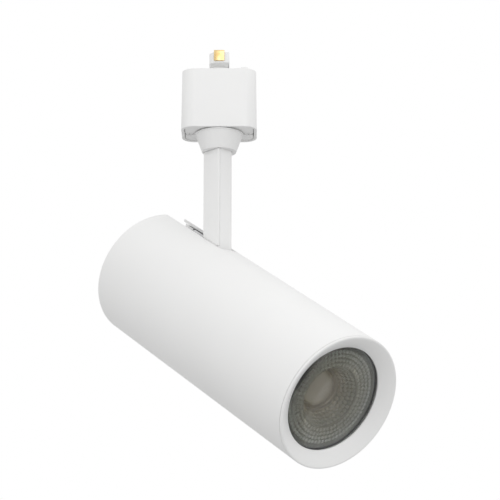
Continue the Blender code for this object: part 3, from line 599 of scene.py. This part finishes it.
SPRING_PLACE = (0.0122, 0.0095)
SPRING_COIL, SPRING_WIRE = 0.0019, 0.0003
SPRING_TURNS, SPRING_LOW, SPRING_RISE = 5, -0.0320, 0.0113
SPRING_STEPS = 24
bpy.ops.object.select_all(action="DESELECT")
bpy.ops.mesh.primitive_circle_add(vertices=10, radius=SPRING_WIRE, fill_type="NOTHING")
spring = bpy.context.object
spring.name = "lock_coil"
bpy.ops.transform.rotate(value=math.radians(90), orient_axis="X", center_override=(0, 0, 0))
bpy.ops.object.transform_apply(location=True, rotation=True, scale=True)
spring.data.transform(Matrix.Translation((SPRING_COIL, 0, 0)))
apply_modifier(
    spring, "SCREW", axis="Z", angle=math.tau * SPRING_TURNS, screw_offset=SPRING_RISE,
    steps=SPRING_STEPS * SPRING_TURNS, render_steps=SPRING_STEPS * SPRING_TURNS,
    use_merge_vertices=False,
)
edit(spring)
bpy.ops.mesh.select_all(action="SELECT")
bpy.ops.mesh.fill_holes(sides=0)
bpy.ops.mesh.select_all(action="SELECT")
bpy.ops.mesh.normals_make_consistent(inside=False)
done()
seat(spring, Matrix.Translation((*SPRING_PLACE, SPRING_LOW)))
spring.data.materials.append(zinc)
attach(spring, "adapter")
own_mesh(spring)
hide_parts("lock_spring")

# ---- Swivel --------------------------------------------------------------------------
# Inside the housing a hollow steel stud turns in a nylon bush, hung from a nut over a sprung
# washer and a washer whose tab meets a stop. Turned and pressed stock, hidden by the housing.

nylon = moulded("grey_nylon", (0.55, 0.55, 0.53), 0.5)


def refinish(node, material):
    """Gives a CAD piece that keeps its shape a finished surface."""
    frame["nodes"][node].data.materials.clear()
    frame["nodes"][node].data.materials.append(material)


refinish("swivel_bush", nylon)
for node in ("swivel_stud", "stop_washer", "spring_washer", "swivel_nut"):
    refinish(node, zinc)


def insulation(name, colour):
    """Smooth PVC with the faint ripple that extrusion leaves."""
    material, tree, shader = new_material(name, colour, 0.35)
    add_grain(tree, shader, 0.0012, 0.00003, 0.3)
    vary(tree, shader, "Base Color", 0.004, tuple(c * 0.85 for c in colour), colour)
    return material


brown = insulation("brown_insulation", (0.20, 0.08, 0.03))
blue = insulation("blue_insulation", (0.03, 0.12, 0.42))
refinish("adapter_lead_live", brown)
refinish("adapter_lead_neutral", blue)

# ---- Swivel collar -------------------------------------------------------------------
# The white cone under the adapter hides the joint. It is a turned aluminium cup, powder
# coated, that turns with the arm, which passes through a close opening in its floor.

COLLAR_TOP, COLLAR_LOW = -0.0355, -0.0460
COLLAR_RADII = (0.0140, 0.0098)
COLLAR_RIM = 0.0006
COLLAR_BORE, COLLAR_FLOOR = 0.0095, 0.0033
ARM_DEPTH, ARM_WIDTH = 0.0128, 0.0123
ARM_CORNER = 0.0040
ARM_GAP = 0.0003

joints = {joint["name"]: joint for joint in frame["joints"]}
upright = Vector((0, 0, 1))
pin = Vector(joints["tilt"]["pos_m"])
pin_line = Vector(joints["tilt"]["axis"]).normalized()
heading = pin_line.cross(upright)
# On the bench the arm's pieces stand upright with X along the lamp's heading.
ARM = Matrix((heading, pin_line, upright)).transposed().to_4x4()


def powder_coated(name, colour):
    """Matt powder coat: a fine orange peel over a white that drifts very slightly."""
    material, tree, shader = new_material(name, colour, 0.42)
    place = add_node(tree, "ShaderNodeTexCoord").outputs["Object"]
    peel = add_node(tree, "ShaderNodeTexNoise", scale=1500.0, detail=2.0)
    speck = add_node(tree, "ShaderNodeTexNoise", scale=5200.0, detail=1.0)
    both = add_node(tree, "ShaderNodeMath", operation="ADD")
    bump = add_node(tree, "ShaderNodeBump", strength=0.22, distance=0.000025)
    tree.links.new(place, peel.inputs["Vector"])
    tree.links.new(place, speck.inputs["Vector"])
    tree.links.new(peel.outputs["Fac"], both.inputs[0])
    tree.links.new(speck.outputs["Fac"], both.inputs[1])
    tree.links.new(both.outputs["Value"], bump.inputs["Height"])
    tree.links.new(bump.outputs["Normal"], shader.inputs["Normal"])
    vary(tree, shader, "Roughness", 0.03, 0.38, 0.47)
    vary(tree, shader, "Base Color", 0.05, tuple(c * 0.985 for c in colour), colour)
    return material


white_coat = powder_coated("white_powder_coat", (0.865, 0.865, 0.86))

collar_floor = COLLAR_LOW + COLLAR_FLOOR
collar = lathe("swivel_cone", [
    (COLLAR_BORE, COLLAR_TOP), (COLLAR_RADII[0], COLLAR_TOP),
    (COLLAR_RADII[0], COLLAR_TOP - COLLAR_RIM),
    (COLLAR_RADII[0] - COLLAR_RIM, COLLAR_TOP - COLLAR_RIM),
    (COLLAR_RADII[1], COLLAR_LOW), (0, COLLAR_LOW), (0, collar_floor), (COLLAR_BORE, collar_floor),
], 96)
arm_opening = start_block(
    "arm_opening", (-ARM_DEPTH / 2 - ARM_GAP, -ARM_WIDTH / 2 - ARM_GAP, COLLAR_LOW - 0.002),
    (ARM_DEPTH / 2 + ARM_GAP, ARM_WIDTH / 2 + ARM_GAP, collar_floor + 0.002),
)
edit(arm_opening)
pick_edges(arm_opening, lambda middle, way: abs(way.z) > FACING and middle.y > 0)
bpy.ops.mesh.bevel(offset=ARM_CORNER + ARM_GAP, segments=10, affect="EDGES")
done()
cut_away(collar, arm_opening)
soften(collar, 0.0002)
seat(collar, ARM)
collar.data.materials.append(white_coat)
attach(collar, "arm")
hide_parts("swivel_collar")

# ---- Arm, its cover and its wires ----------------------------------------------------
# The arm is a die-cast channel with a round-cornered back. A round head at the top takes the
# stud, and a round end at the bottom takes the tilt bolt. A flat cover closes in its wires.

ARM_HEAD_RADIUS = 0.0092
ARM_HEAD_LOW, ARM_HEAD_HIGH = -0.0420, -0.0351
COVER_THICK = 0.0012
COVER_LOW, COVER_HIGH = -0.1036, -0.0426
STUD_FIT = 0.00515
PIN_FIT = 0.00215
WASHER_SINK_RADIUS = 0.0046
SINK_FLOOR = ARM_WIDTH / 2 - 0.0010
BOLT_CUT = 0.0080
WIRE_WAY_HALF, WIRE_WAY_LOW, WIRE_WAY_WALL = 0.0046, -0.1010, 0.0020
COVER_PLAY, COVER_END_PLAY = 0.0001, 0.0005

pin_drop = -pin.z
arm = start_block(
    "arm_channel", (-ARM_DEPTH / 2, -ARM_WIDTH / 2, -pin_drop),
    (ARM_DEPTH / 2, ARM_WIDTH / 2, ARM_HEAD_LOW + 0.001),
)
edit(arm)
pick_edges(arm, lambda middle, way: abs(way.z) > FACING and middle.y > 0)
bpy.ops.mesh.bevel(offset=ARM_CORNER, segments=10, affect="EDGES")
done()
weld_on(
    arm,
    start_rod("arm_head", ARM_HEAD_RADIUS, ARM_HEAD_LOW, ARM_HEAD_HIGH, 64),
    start_rod("arm_end", ARM_DEPTH / 2, -ARM_WIDTH / 2, ARM_WIDTH / 2, 64, (0, -pin_drop), "Y"),
)
cut_away(
    arm,
    start_block(
        "cover_seat", (-ARM_DEPTH, -ARM_WIDTH, COVER_LOW - ARM_GAP),
        (ARM_DEPTH, -ARM_WIDTH / 2 + COVER_THICK + COVER_PLAY, COVER_HIGH + COVER_END_PLAY),
    ),
    start_block(
        "wire_way", (-WIRE_WAY_HALF, -ARM_WIDTH, WIRE_WAY_LOW),
        (WIRE_WAY_HALF, ARM_WIDTH / 2 - WIRE_WAY_WALL, COVER_HIGH + COVER_END_PLAY),
    ),
    start_rod("stud_bore", STUD_FIT, -0.04165, -0.0340, 48),
    start_rod("pin_bore", PIN_FIT, -BOLT_CUT, BOLT_CUT, 32, (0, -pin_drop), "Y"),
    start_rod("sink_left", WASHER_SINK_RADIUS, SINK_FLOOR, BOLT_CUT, 48, (0, -pin_drop), "Y"),
    start_rod("sink_right", WASHER_SINK_RADIUS, -BOLT_CUT, -SINK_FLOOR, 48, (0, -pin_drop), "Y"),
)
soften(arm, 0.0002, 2)
seat(arm, ARM)
arm.data.materials.append(white_coat)
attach(arm, "arm")
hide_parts("arm")

cover = start_block(
    "arm_cover_strip", (-ARM_DEPTH / 2, -ARM_WIDTH / 2, COVER_LOW),
    (ARM_DEPTH / 2, -ARM_WIDTH / 2 + COVER_THICK, COVER_HIGH),
)
soften(cover, 0.00018)
seat(cover, ARM)
cover.data.materials.append(white_coat)
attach(cover, "arm")
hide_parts("arm_cover")

refinish("arm_wire_live", brown)
refinish("arm_wire_neutral", blue)


def striped_insulation():
    """Earth insulation, green with a yellow stripe down its length."""
    material, tree, shader = new_material("green_yellow_insulation", (0.10, 0.38, 0.05), 0.35)
    place = add_node(tree, "ShaderNodeTexCoord").outputs["Object"]
    wave = add_node(tree, "ShaderNodeTexWave", scale=140.0)
    wave.bands_direction = "X"
    stripe = add_node(tree, "ShaderNodeValToRGB")
    stripe.color_ramp.interpolation = "CONSTANT"
    stripe.color_ramp.elements[0].color = (0.08, 0.34, 0.04, 1.0)
    stripe.color_ramp.elements[1].color = (0.75, 0.66, 0.05, 1.0)
    stripe.color_ramp.elements[1].position = 0.6
    tree.links.new(place, wave.inputs["Vector"])
    tree.links.new(wave.outputs["Fac"], stripe.inputs["Fac"])
    tree.links.new(stripe.outputs["Color"], shader.inputs["Base Color"])
    return material


refinish("arm_wire_earth", striped_insulation())

# ---- Lamp tube -----------------------------------------------------------------------
# The lamp's body is a length of extruded aluminium tube, powder coated white. A slot is milled
# from its rear end to just in front of the arm, which folds into it.

TUBE_RADIUS = 0.0375
TUBE_WALL = 0.0015
TUBE_FRONT, TUBE_BACK = 0.0016, 0.1800
SLOT_WIDTH = 0.0134
SLOT_FRONT = 0.1240
SLOT_CORNER = 0.0020
PIN_STATION = 0.1312
PIN_RISE = 0.0300

# Level is the lamp's upper stop, so the joint's range says how far it is tilted at rest.
tilt = -math.radians(joints["tilt"]["range_deg"][0])
forward = heading * math.cos(tilt) - upright * math.sin(tilt)
slotward = heading * math.sin(tilt) + upright * math.cos(tilt)
# On the bench a lamp piece stands nose up: Z is forward, X towards the slot, and the
# front rim's centre is the origin, so a place s behind the rim is at z = -s.
LAMP = Matrix((slotward, -pin_line, forward)).transposed().to_4x4()
LAMP.translation = pin + forward * PIN_STATION - slotward * PIN_RISE

tube = start_rod("lamp_body_tube", TUBE_RADIUS, -TUBE_BACK, -TUBE_FRONT, 192)
edit(tube)
pick_faces(tube, lambda middle, normal: abs(normal.z) > FACING)
bpy.ops.mesh.delete(type="ONLY_FACE")
done()
apply_modifier(tube, "SOLIDIFY", thickness=TUBE_WALL, offset=-1.0)
slot_tool = start_block(
    "slot_tool", (TUBE_RADIUS - 0.012, -SLOT_WIDTH / 2, -TUBE_BACK - 0.005),
    (TUBE_RADIUS + 0.005, SLOT_WIDTH / 2, -SLOT_FRONT),
)
edit(slot_tool)
pick_edges(slot_tool, lambda middle, way: abs(way.x) > FACING and middle.z > -SLOT_FRONT - 0.001)
bpy.ops.mesh.bevel(offset=SLOT_CORNER, segments=6, affect="EDGES")
done()
cut_away(tube, slot_tool)
soften(tube, 0.00025)
seat(tube, LAMP)
tube.data.materials.append(white_coat)
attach(tube, "lamp")
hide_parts("lamp_tube")

# ---- Pivot bracket, tilt bolt and washers --------------------------------------------
# Under the slot lies a channel pressed from zinc-plated steel, screwed to the heat sink. The
# tilt bolt passes through its cheeks and the arm, with a nylon friction washer on each side.

FLOOR_LOW, FLOOR_HIGH = 0.0218, 0.0230
CHEEK_INNER, CHEEK_OUTER, CHEEK_TOP = 0.0065, 0.0077, 0.0348
BRACKET_FRONT, CHEEK_FRONT, BRACKET_BACK = 0.1000, 0.1210, 0.1695
CHEEK_CORNER = 0.0030
SCREW_LIFT = 0.0003
BRACKET_SCREWS = {"front": 0.1055, "rear": 0.1135}

bracket = start_block(
    "pivot_channel", (FLOOR_LOW, -CHEEK_OUTER, -BRACKET_BACK),
    (CHEEK_TOP, CHEEK_OUTER, -CHEEK_FRONT),
)
edit(bracket)
pick_edges(bracket, lambda middle, way: abs(way.y) > FACING and middle.x > CHEEK_TOP - 0.001)
bpy.ops.mesh.bevel(offset=CHEEK_CORNER, segments=6, affect="EDGES")
done()
cut_away(bracket, start_block(
    "channel_hollow", (FLOOR_HIGH, -CHEEK_INNER, -BRACKET_BACK - 0.001),
    (CHEEK_TOP + 0.001, CHEEK_INNER, -CHEEK_FRONT + 0.001),
))
weld_on(bracket, start_block(
    "bracket_foot", (FLOOR_LOW, -CHEEK_OUTER, -CHEEK_FRONT - 0.001),
    (FLOOR_HIGH, CHEEK_OUTER, -BRACKET_FRONT),
))
cut_away(bracket, start_rod(
    "bolt_bore", PIN_FIT, -0.010, 0.010, 32, (PIN_RISE, -PIN_STATION), "Y"
))
soften(bracket, 0.0002, 2)
seat(bracket, LAMP)
bracket.data.materials.append(zinc)
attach(bracket, "lamp")
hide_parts("pivot_bracket")

SLOTWARD_TURN = Matrix.Rotation(math.radians(90), 4, "Y")
for end, station in BRACKET_SCREWS.items():
    fixing = make_screw(
        f"channel_screw_{end}", head_radius=0.0028, head_height=0.0018, shank_radius=0.0014,
        length=0.0095,
    )
    fixing.data.transform(SLOTWARD_TURN)
    seat(fixing, LAMP @ Matrix.Translation((FLOOR_HIGH + SCREW_LIFT, 0, -station)))
    fixing.data.materials.append(zinc)
    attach(fixing, "lamp")
    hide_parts(f"bracket_screw_{end}")

for node in ("pivot_bolt", "pivot_nut"):
    refinish(node, zinc)
for node in ("friction_washer_left", "friction_washer_right"):
    refinish(node, nylon)

# ---- Front ring ----------------------------------------------------------------------
# The ring that closes the tube is turned aluminium in the same white. Its face falls inwards as
# a shallow cone to the glass, and its skirt screws into the tube, which leaves a hairline seam.

SEAM = 0.0013
MOUTH_RADIUS, MOUTH_STATION = 0.0293, 0.0053
LIP = 0.0009
SKIRT_OUTER, SKIRT_INNER, SKIRT_END = 0.0356, 0.0326, 0.0140

ring = lathe("front_ring", [
    (TUBE_RADIUS, -SEAM), (TUBE_RADIUS, -0.0004), (TUBE_RADIUS - 0.0003, -0.0001),
    (TUBE_RADIUS - 0.0008, 0), (TUBE_RADIUS - 0.0012, -0.0001), (MOUTH_RADIUS, -MOUTH_STATION),
    (MOUTH_RADIUS, -MOUTH_STATION - LIP), (SKIRT_INNER, -MOUTH_STATION - LIP),
    (SKIRT_INNER, -SKIRT_END), (SKIRT_OUTER, -SKIRT_END), (SKIRT_OUTER, -SEAM),
], 192)
soften(ring, 0.00015, 2)
seat(ring, LAMP)
ring.data.materials.append(white_coat)
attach(ring, "lamp")
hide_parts("bezel")

# ---- Front glass and its gasket ------------------------------------------------------
# A disc of clear toughened glass lies behind the ring's lip, its edge ground, and a silicone
# gasket behind it keeps dust off the lens.

GLASS_RADIUS, GLASS_FRONT, GLASS_BACK = 0.0322, 0.0065, 0.0081
GLASS_IOR = 1.5


def clear_glass():
    """Water-clear glass with a faint unevenness in its polish."""
    material, tree, shader = new_material("clear_toughened_glass", (0.97, 0.985, 0.975), 0.02)
    shader.inputs["Transmission Weight"].default_value = 1.0
    shader.inputs["IOR"].default_value = GLASS_IOR
    vary(tree, shader, "Roughness", 0.006, 0.01, 0.05)
    return material


glass = lathe("front_glass_disc", [
    (0, -GLASS_BACK), (GLASS_RADIUS, -GLASS_BACK), (GLASS_RADIUS, -GLASS_FRONT), (0, -GLASS_FRONT),
], 128, closed=False)
soften(glass, 0.0002, 2)
seat(glass, LAMP)
glass.data.materials.append(clear_glass())
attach(glass, "lamp")
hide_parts("front_glass")

silicone = moulded("white_silicone", (0.72, 0.73, 0.73), 0.6)
gasket = lathe("glass_seal", [
    (0.0302, -0.0099), (0.0322, -0.0099), (0.0322, -0.0084), (0.0312, -0.00865), (0.0302, -0.0084),
], 128)
soften(gasket, 0.0002, 2)
seat(gasket, LAMP)
gasket.data.materials.append(silicone)
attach(gasket, "lamp")
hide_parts("glass_gasket")

# ---- Lens ----------------------------------------------------------------------------
# The lens is one moulding of smoky polycarbonate. Rows of round beads cover its face and the
# wall of a conical well, round a low dome, and fine rings are turned in its rim.

LENS_RADIUS, LENS_FRONT = 0.0286, 0.0090
WELL_RADIUS, WELL_FOOT = 0.0170, (0.0108, 0.0170)
RING_RADII, RING_DEPTH = (0.0264, 0.0270, 0.0276), 0.00018
BEAD_PITCH, BEAD_RADIUS, BEAD_HEIGHT = 0.0023, 0.00112, 0.00052
BEAD_SINK = 0.00004
FACE_ROWS, WALL_ROWS = 4, 4
ROW_START = 0.6
# Painted colours from the lens's middle, at 0, outwards to its rim, at 1. The brown middle paints
# the unlit phosphor as seen through the lens.
MIDDLE_PAINTED_PHOSPHOR = (0.84, 0.73, 0.58)
LENS_PAINTED_TINTS = (
    (0.28, (0.80, 0.70, 0.54)), (0.33, (0.62, 0.51, 0.34)), (0.40, (0.76, 0.68, 0.50)),
    (0.50, (0.74, 0.70, 0.55)),
)


def painted_lens_plastic(name, clearness, rim_painted_tone, roughest):
    """Smoky polycarbonate, part clear and part clouded. Its colour is painted by radius: a brown
    middle that paints the unlit phosphor seen through it, and towards the rim the given rim tone,
    which is painted shade on the body and a painted highlight on the beads. Its polish drifts up to
    the roughest."""
    material, tree, shader = new_material(name, (0.70, 0.69, 0.60), 0.03)
    shader.inputs["Transmission Weight"].default_value = clearness
    shader.inputs["IOR"].default_value = POLYCARBONATE_IOR
    shader.inputs["Specular IOR Level"].default_value = 0.8
    place = add_node(tree, "ShaderNodeTexCoord").outputs["Object"]
    offset = add_node(tree, "ShaderNodeVectorMath", operation="SUBTRACT")
    offset.inputs[1].default_value = LAMP.translation
    across = add_node(tree, "ShaderNodeVectorMath", operation="CROSS_PRODUCT")
    across.inputs[1].default_value = forward
    radius = add_node(tree, "ShaderNodeVectorMath", operation="LENGTH")
    share = add_node(tree, "ShaderNodeMath", operation="DIVIDE")
    share.inputs[1].default_value = LENS_RADIUS
    # Painted colour by radius: brown middle for the phosphor seen through, then the rim tone,
    # painted shade or highlight as given.
    tint = add_node(tree, "ShaderNodeValToRGB")
    stops = tint.color_ramp.elements
    stops[0].color = (*MIDDLE_PAINTED_PHOSPHOR, 1.0)
    stops[1].color = (*rim_painted_tone, 1.0)
    for at, colour in LENS_PAINTED_TINTS:
        stops.new(at).color = (*colour, 1.0)
    tree.links.new(place, offset.inputs[0])
    tree.links.new(offset.outputs["Vector"], across.inputs[0])
    tree.links.new(across.outputs["Vector"], radius.inputs[0])
    tree.links.new(radius.outputs["Value"], share.inputs[0])
    tree.links.new(share.outputs["Value"], tint.inputs["Fac"])
    tree.links.new(tint.outputs["Color"], shader.inputs["Base Color"])
    vary(tree, shader, "Roughness", 0.004, 0.02, roughest)
    return material


# Two copies of one lens plastic: the body's dark rim tone is painted shade, and the beads' light
# rim tone is a painted highlight over it.
lens_shaded_body = painted_lens_plastic("lens_body_painted_shade", 0.62, (0.46, 0.47, 0.42), 0.06)
lens_highlit_beads = painted_lens_plastic("lens_beads_painted_highlight", 0.74, (0.95, 0.97, 0.90), 0.03)
rim_rings = []
for radius in RING_RADII:
    rim_rings += [(radius, -LENS_FRONT), (radius, -LENS_FRONT - RING_DEPTH)]
    rim_rings += [
        (radius + RING_DEPTH, -LENS_FRONT - RING_DEPTH), (radius + 2 * RING_DEPTH, -LENS_FRONT)
    ]
lens = lathe("bead_lens", [
    (0, -0.0148), (0.0020, -0.01488), (0.0040, -0.01512), (0.0060, -0.01555), (0.0074, -0.01605),
    (0.0080, -0.0166), (0.0084, -0.0176), (0.0092, -0.0178), (0.0098, -0.0170),
    (WELL_FOOT[0], -WELL_FOOT[1]), (WELL_RADIUS - 0.0003, -LENS_FRONT - 0.0003),
    (WELL_RADIUS, -LENS_FRONT), *rim_rings, (LENS_RADIUS, -LENS_FRONT), (LENS_RADIUS, -0.0110),
    (0.0270, -0.0110), (0.0250, -0.0150), (0.0234, -0.0178), (0.0215, -0.0205), (0.0194, -0.0233),
    (0.0170, -0.0260), (0.0146, -0.0286), (0.0120, -0.0310), (0.0090, -0.0310), (0.0082, -0.0250),
    (0.0062, -0.0239), (0.0040, -0.0232), (0.0020, -0.0228), (0, -0.0226),
], 160, closed=False)
seat(lens, LAMP)
lens.data.materials.append(lens_shaded_body)
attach(lens, "lamp")
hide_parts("lens")

# One bead is half a flattened ball. Copies stand in rows, each half a step on from the last.
bpy.ops.object.select_all(action="DESELECT")
bpy.ops.mesh.primitive_ico_sphere_add(subdivisions=2, radius=BEAD_RADIUS)
bead = bpy.context.object
edit(bead)
bpy.ops.mesh.select_all(action="SELECT")
bpy.ops.mesh.bisect(plane_co=(0, 0, 0), plane_no=(0, 0, 1), use_fill=True, clear_inner=True)
bpy.ops.mesh.select_all(action="SELECT")
bpy.ops.transform.resize(value=(1, 1, BEAD_HEIGHT / BEAD_RADIUS))
done()
well_depth = WELL_FOOT[1] - LENS_FRONT
well_lean = math.atan2(well_depth, WELL_RADIUS - WELL_FOOT[0])
rows = [
    (WELL_RADIUS + (row + ROW_START) * BEAD_PITCH, -LENS_FRONT - BEAD_SINK, 0.0)
    for row in range(FACE_ROWS)
]
for row in range(WALL_ROWS):
    climb = (row + ROW_START) * BEAD_PITCH
    radius = WELL_FOOT[0] + climb * math.cos(well_lean) + BEAD_SINK * math.sin(well_lean)
    height = climb * math.sin(well_lean) - WELL_FOOT[1] - BEAD_SINK * math.cos(well_lean)
    rows.append((radius, height, -well_lean))
beads = []
for row, (radius, height, lean) in enumerate(rows):
    count = round(math.tau * radius / BEAD_PITCH)
    for number in range(count):
        turn = Matrix.Rotation(math.tau * (number + 0.5 * (row % 2)) / count, 4, "Z")
        place = Matrix.Translation((radius, 0, height)) @ Matrix.Rotation(lean, 4, "Y")
        copy = bpy.data.objects.new("bead", bead.data.copy())
        copy.data.transform(turn @ place)
        bpy.context.scene.collection.objects.link(copy)
        beads.append(copy)
bpy.data.objects.remove(bead)
bpy.ops.object.select_all(action="DESELECT")
for copy in beads:
    copy.select_set(True)
bpy.context.view_layer.objects.active = beads[0]
bpy.ops.object.join()
bead_rows = bpy.context.object
bead_rows.name = "lens_beads"
seat(bead_rows, LAMP)
bead_rows.data.materials.append(lens_highlit_beads)
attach(bead_rows, "lamp")

# ---- Lens holder ---------------------------------------------------------------------
# A black moulded cup holds the lens by its flange, is clamped by the ring's skirt against the
# heat sink, and hides everything round the lens.


def black_moulding():
    """Black moulded plastic with a fine grain."""
    material, tree, shader = new_material("black_moulding", (0.025, 0.026, 0.024), 0.42)
    add_grain(tree, shader, 0.0004, 0.00002)
    vary(tree, shader, "Roughness", 0.01, 0.36, 0.50)
    return material


black_plastic = black_moulding()
holder = lathe("lens_cup", [
    (0.0289, -0.0102), (0.0289, -0.0113), (0.0276, -0.0113), (0.0258, -0.0152), (0.0223, -0.0209),
    (0.0178, -0.0265), (0.0129, -0.0312), (0.0146, -0.0312), (0.0194, -0.0269), (0.0240, -0.0212),
    (0.0270, -0.0162), (0.0330, -0.0162), (0.0330, -0.0357), (0.0348, -0.0357), (0.0348, -0.0144),
    (0.0322, -0.0144), (0.0322, -0.0102),
], 128)
soften(holder, 0.0002, 2)
seat(holder, LAMP)
holder.data.materials.append(black_plastic)
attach(holder, "lamp")
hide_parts("lens_holder")

# ---- Light source --------------------------------------------------------------------
# The light comes from one round patch of yellow phosphor on a ceramic board, held against the
# heat sink by a white ring with two screws.


def phosphor_gel():
    """Phosphor in silicone gel, yellow when unlit and faintly mottled."""
    material, tree, shader = new_material("phosphor_gel", (0.80, 0.62, 0.18), 0.45)
    shader.inputs["Subsurface Weight"].default_value = 0.2
    shader.inputs["Subsurface Scale"].default_value = 0.001
    add_grain(tree, shader, 0.0006, 0.00004)
    vary(tree, shader, "Base Color", 0.0012, (0.74, 0.55, 0.14), (0.84, 0.66, 0.22))
    return material


refinish("cob_phosphor", phosphor_gel())
refinish("cob_board", moulded("white_ceramic", (0.80, 0.80, 0.78), 0.45))
refinish("led_holder", white_plastic)
for side in ("left", "right"):
    refinish(f"led_screw_{side}", zinc)

# ---- Heat sink -----------------------------------------------------------------------
# The heat sink is a die-cast aluminium disc with nine upright fins behind it, left bare. It is
# pressed into the tube, and its boss carries the pivot bracket.


def cast_aluminium():
    """Bare die-cast aluminium, matt, with the cloudy grain of its skin."""
    material, tree, shader = new_material("bare_cast_aluminium", (0.74, 0.75, 0.76), 0.42, 1.0)
    add_grain(tree, shader, 0.0009, 0.00006, 0.4)
    vary(tree, shader, "Roughness", 0.005, 0.34, 0.55)
    vary(tree, shader, "Base Color", 0.012, (0.66, 0.67, 0.68), (0.77, 0.78, 0.79))
    return material


aluminium = cast_aluminium()
refinish("heat_sink", aluminium)

# ---- Driver --------------------------------------------------------------------------
# The driver sits in the rear of the tube: a moulded tray and lid round a green board, with its
# transformer and capacitor, and a silicone pad between its lid and the heat sink's boss.

refinish("driver_tray", white_plastic)
refinish("driver_lid", white_plastic)
refinish("thermal_pad", silicone)


def circuit_board():
    """Green solder mask with the copper showing paler under it."""
    material, tree, shader = new_material("solder_mask", (0.02, 0.20, 0.08), 0.35)
    place = add_node(tree, "ShaderNodeTexCoord").outputs["Object"]
    tracks = add_node(tree, "ShaderNodeTexVoronoi", scale=320.0)
    ramp = add_node(tree, "ShaderNodeValToRGB")
    ramp.color_ramp.elements[0].color = (0.05, 0.32, 0.12, 1.0)
    ramp.color_ramp.elements[1].color = (0.015, 0.17, 0.06, 1.0)
    tree.links.new(place, tracks.inputs["Vector"])
    tree.links.new(tracks.outputs["Distance"], ramp.inputs["Fac"])
    tree.links.new(ramp.outputs["Color"], shader.inputs["Base Color"])
    add_grain(tree, shader, 0.0005, 0.00003)
    return material


refinish("driver_board", circuit_board())
refinish("driver_transformer", moulded("polyester_tape", (0.80, 0.62, 0.10), 0.4))
refinish("driver_capacitor", black_plastic)

# ---- Rear cap, its posts and screws --------------------------------------------------
# A moulded cap closes the tube's rear end a little inside it. It is notched for the arm, cut with
# seven vents, and screwed to three aluminium posts that stand on the heat sink.

CAP_RADIUS, CAP_FRONT, CAP_BACK = 0.0357, 0.1740, 0.1775
VENT_COUNT, VENT_PITCH, VENT_WIDTH = 7, 0.0052, 0.0022
VENT_SPAN = (-0.0150, 0.0130)
LIP_FRONT = 0.1702
LIP_ACROSS, LIP_RISE = (0.0072, 0.0080), (0.0215, 0.0346)
NOTCH = ((0.0210, -0.0070), (0.0500, 0.0070))
CAP_CUT_BACK, CAP_CUT_FRONT = -0.180, -0.170
POSTS = {"left": (0.0, -0.0260), "right": (0.0, 0.0260), "bottom": (-0.0295, 0.0)}

cap = start_rod("rear_closing_cap", CAP_RADIUS, -CAP_BACK, -CAP_FRONT, 160)
cut_away(cap, start_block("arm_notch", (*NOTCH[0], CAP_CUT_BACK), (*NOTCH[1], CAP_CUT_FRONT)))
for number in range(VENT_COUNT):
    across = (number - VENT_COUNT // 2) * VENT_PITCH
    vent = start_block(
        "vent_tool", (VENT_SPAN[0], across - VENT_WIDTH / 2, CAP_CUT_BACK),
        (VENT_SPAN[1], across + VENT_WIDTH / 2, CAP_CUT_FRONT),
    )
    edit(vent)
    pick_edges(vent, lambda middle, way: abs(way.z) > FACING)
    bpy.ops.mesh.bevel(offset=VENT_WIDTH * 0.49, segments=6, affect="EDGES")
    done()
    cut_away(cap, vent)
for side in (-1, 1):
    across = sorted((side * LIP_ACROSS[0], side * LIP_ACROSS[1]))
    weld_on(cap, start_block(
        "notch_lip", (LIP_RISE[0], across[0], -CAP_FRONT - 0.001),
        (LIP_RISE[1], across[1], -LIP_FRONT),
    ))
soften(cap, 0.0003, 2)
seat(cap, LAMP)
cap.data.materials.append(white_plastic)
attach(cap, "lamp")
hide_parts("rear_cap")

for side, (up, across) in POSTS.items():
    refinish(f"cap_post_{side}", aluminium)
    fixing = make_screw(
        f"rear_screw_{side}", head_radius=0.0027, head_height=0.0017, shank_radius=0.0013,
        length=0.0110,
    )
    fixing.data.transform(Matrix.Rotation(math.pi, 4, "Y"))
    seat(fixing, LAMP @ Matrix.Translation((up, across, -CAP_BACK - SCREW_LIFT)))
    fixing.data.materials.append(zinc)
    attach(fixing, "lamp")
    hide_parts(f"cap_screw_{side}")
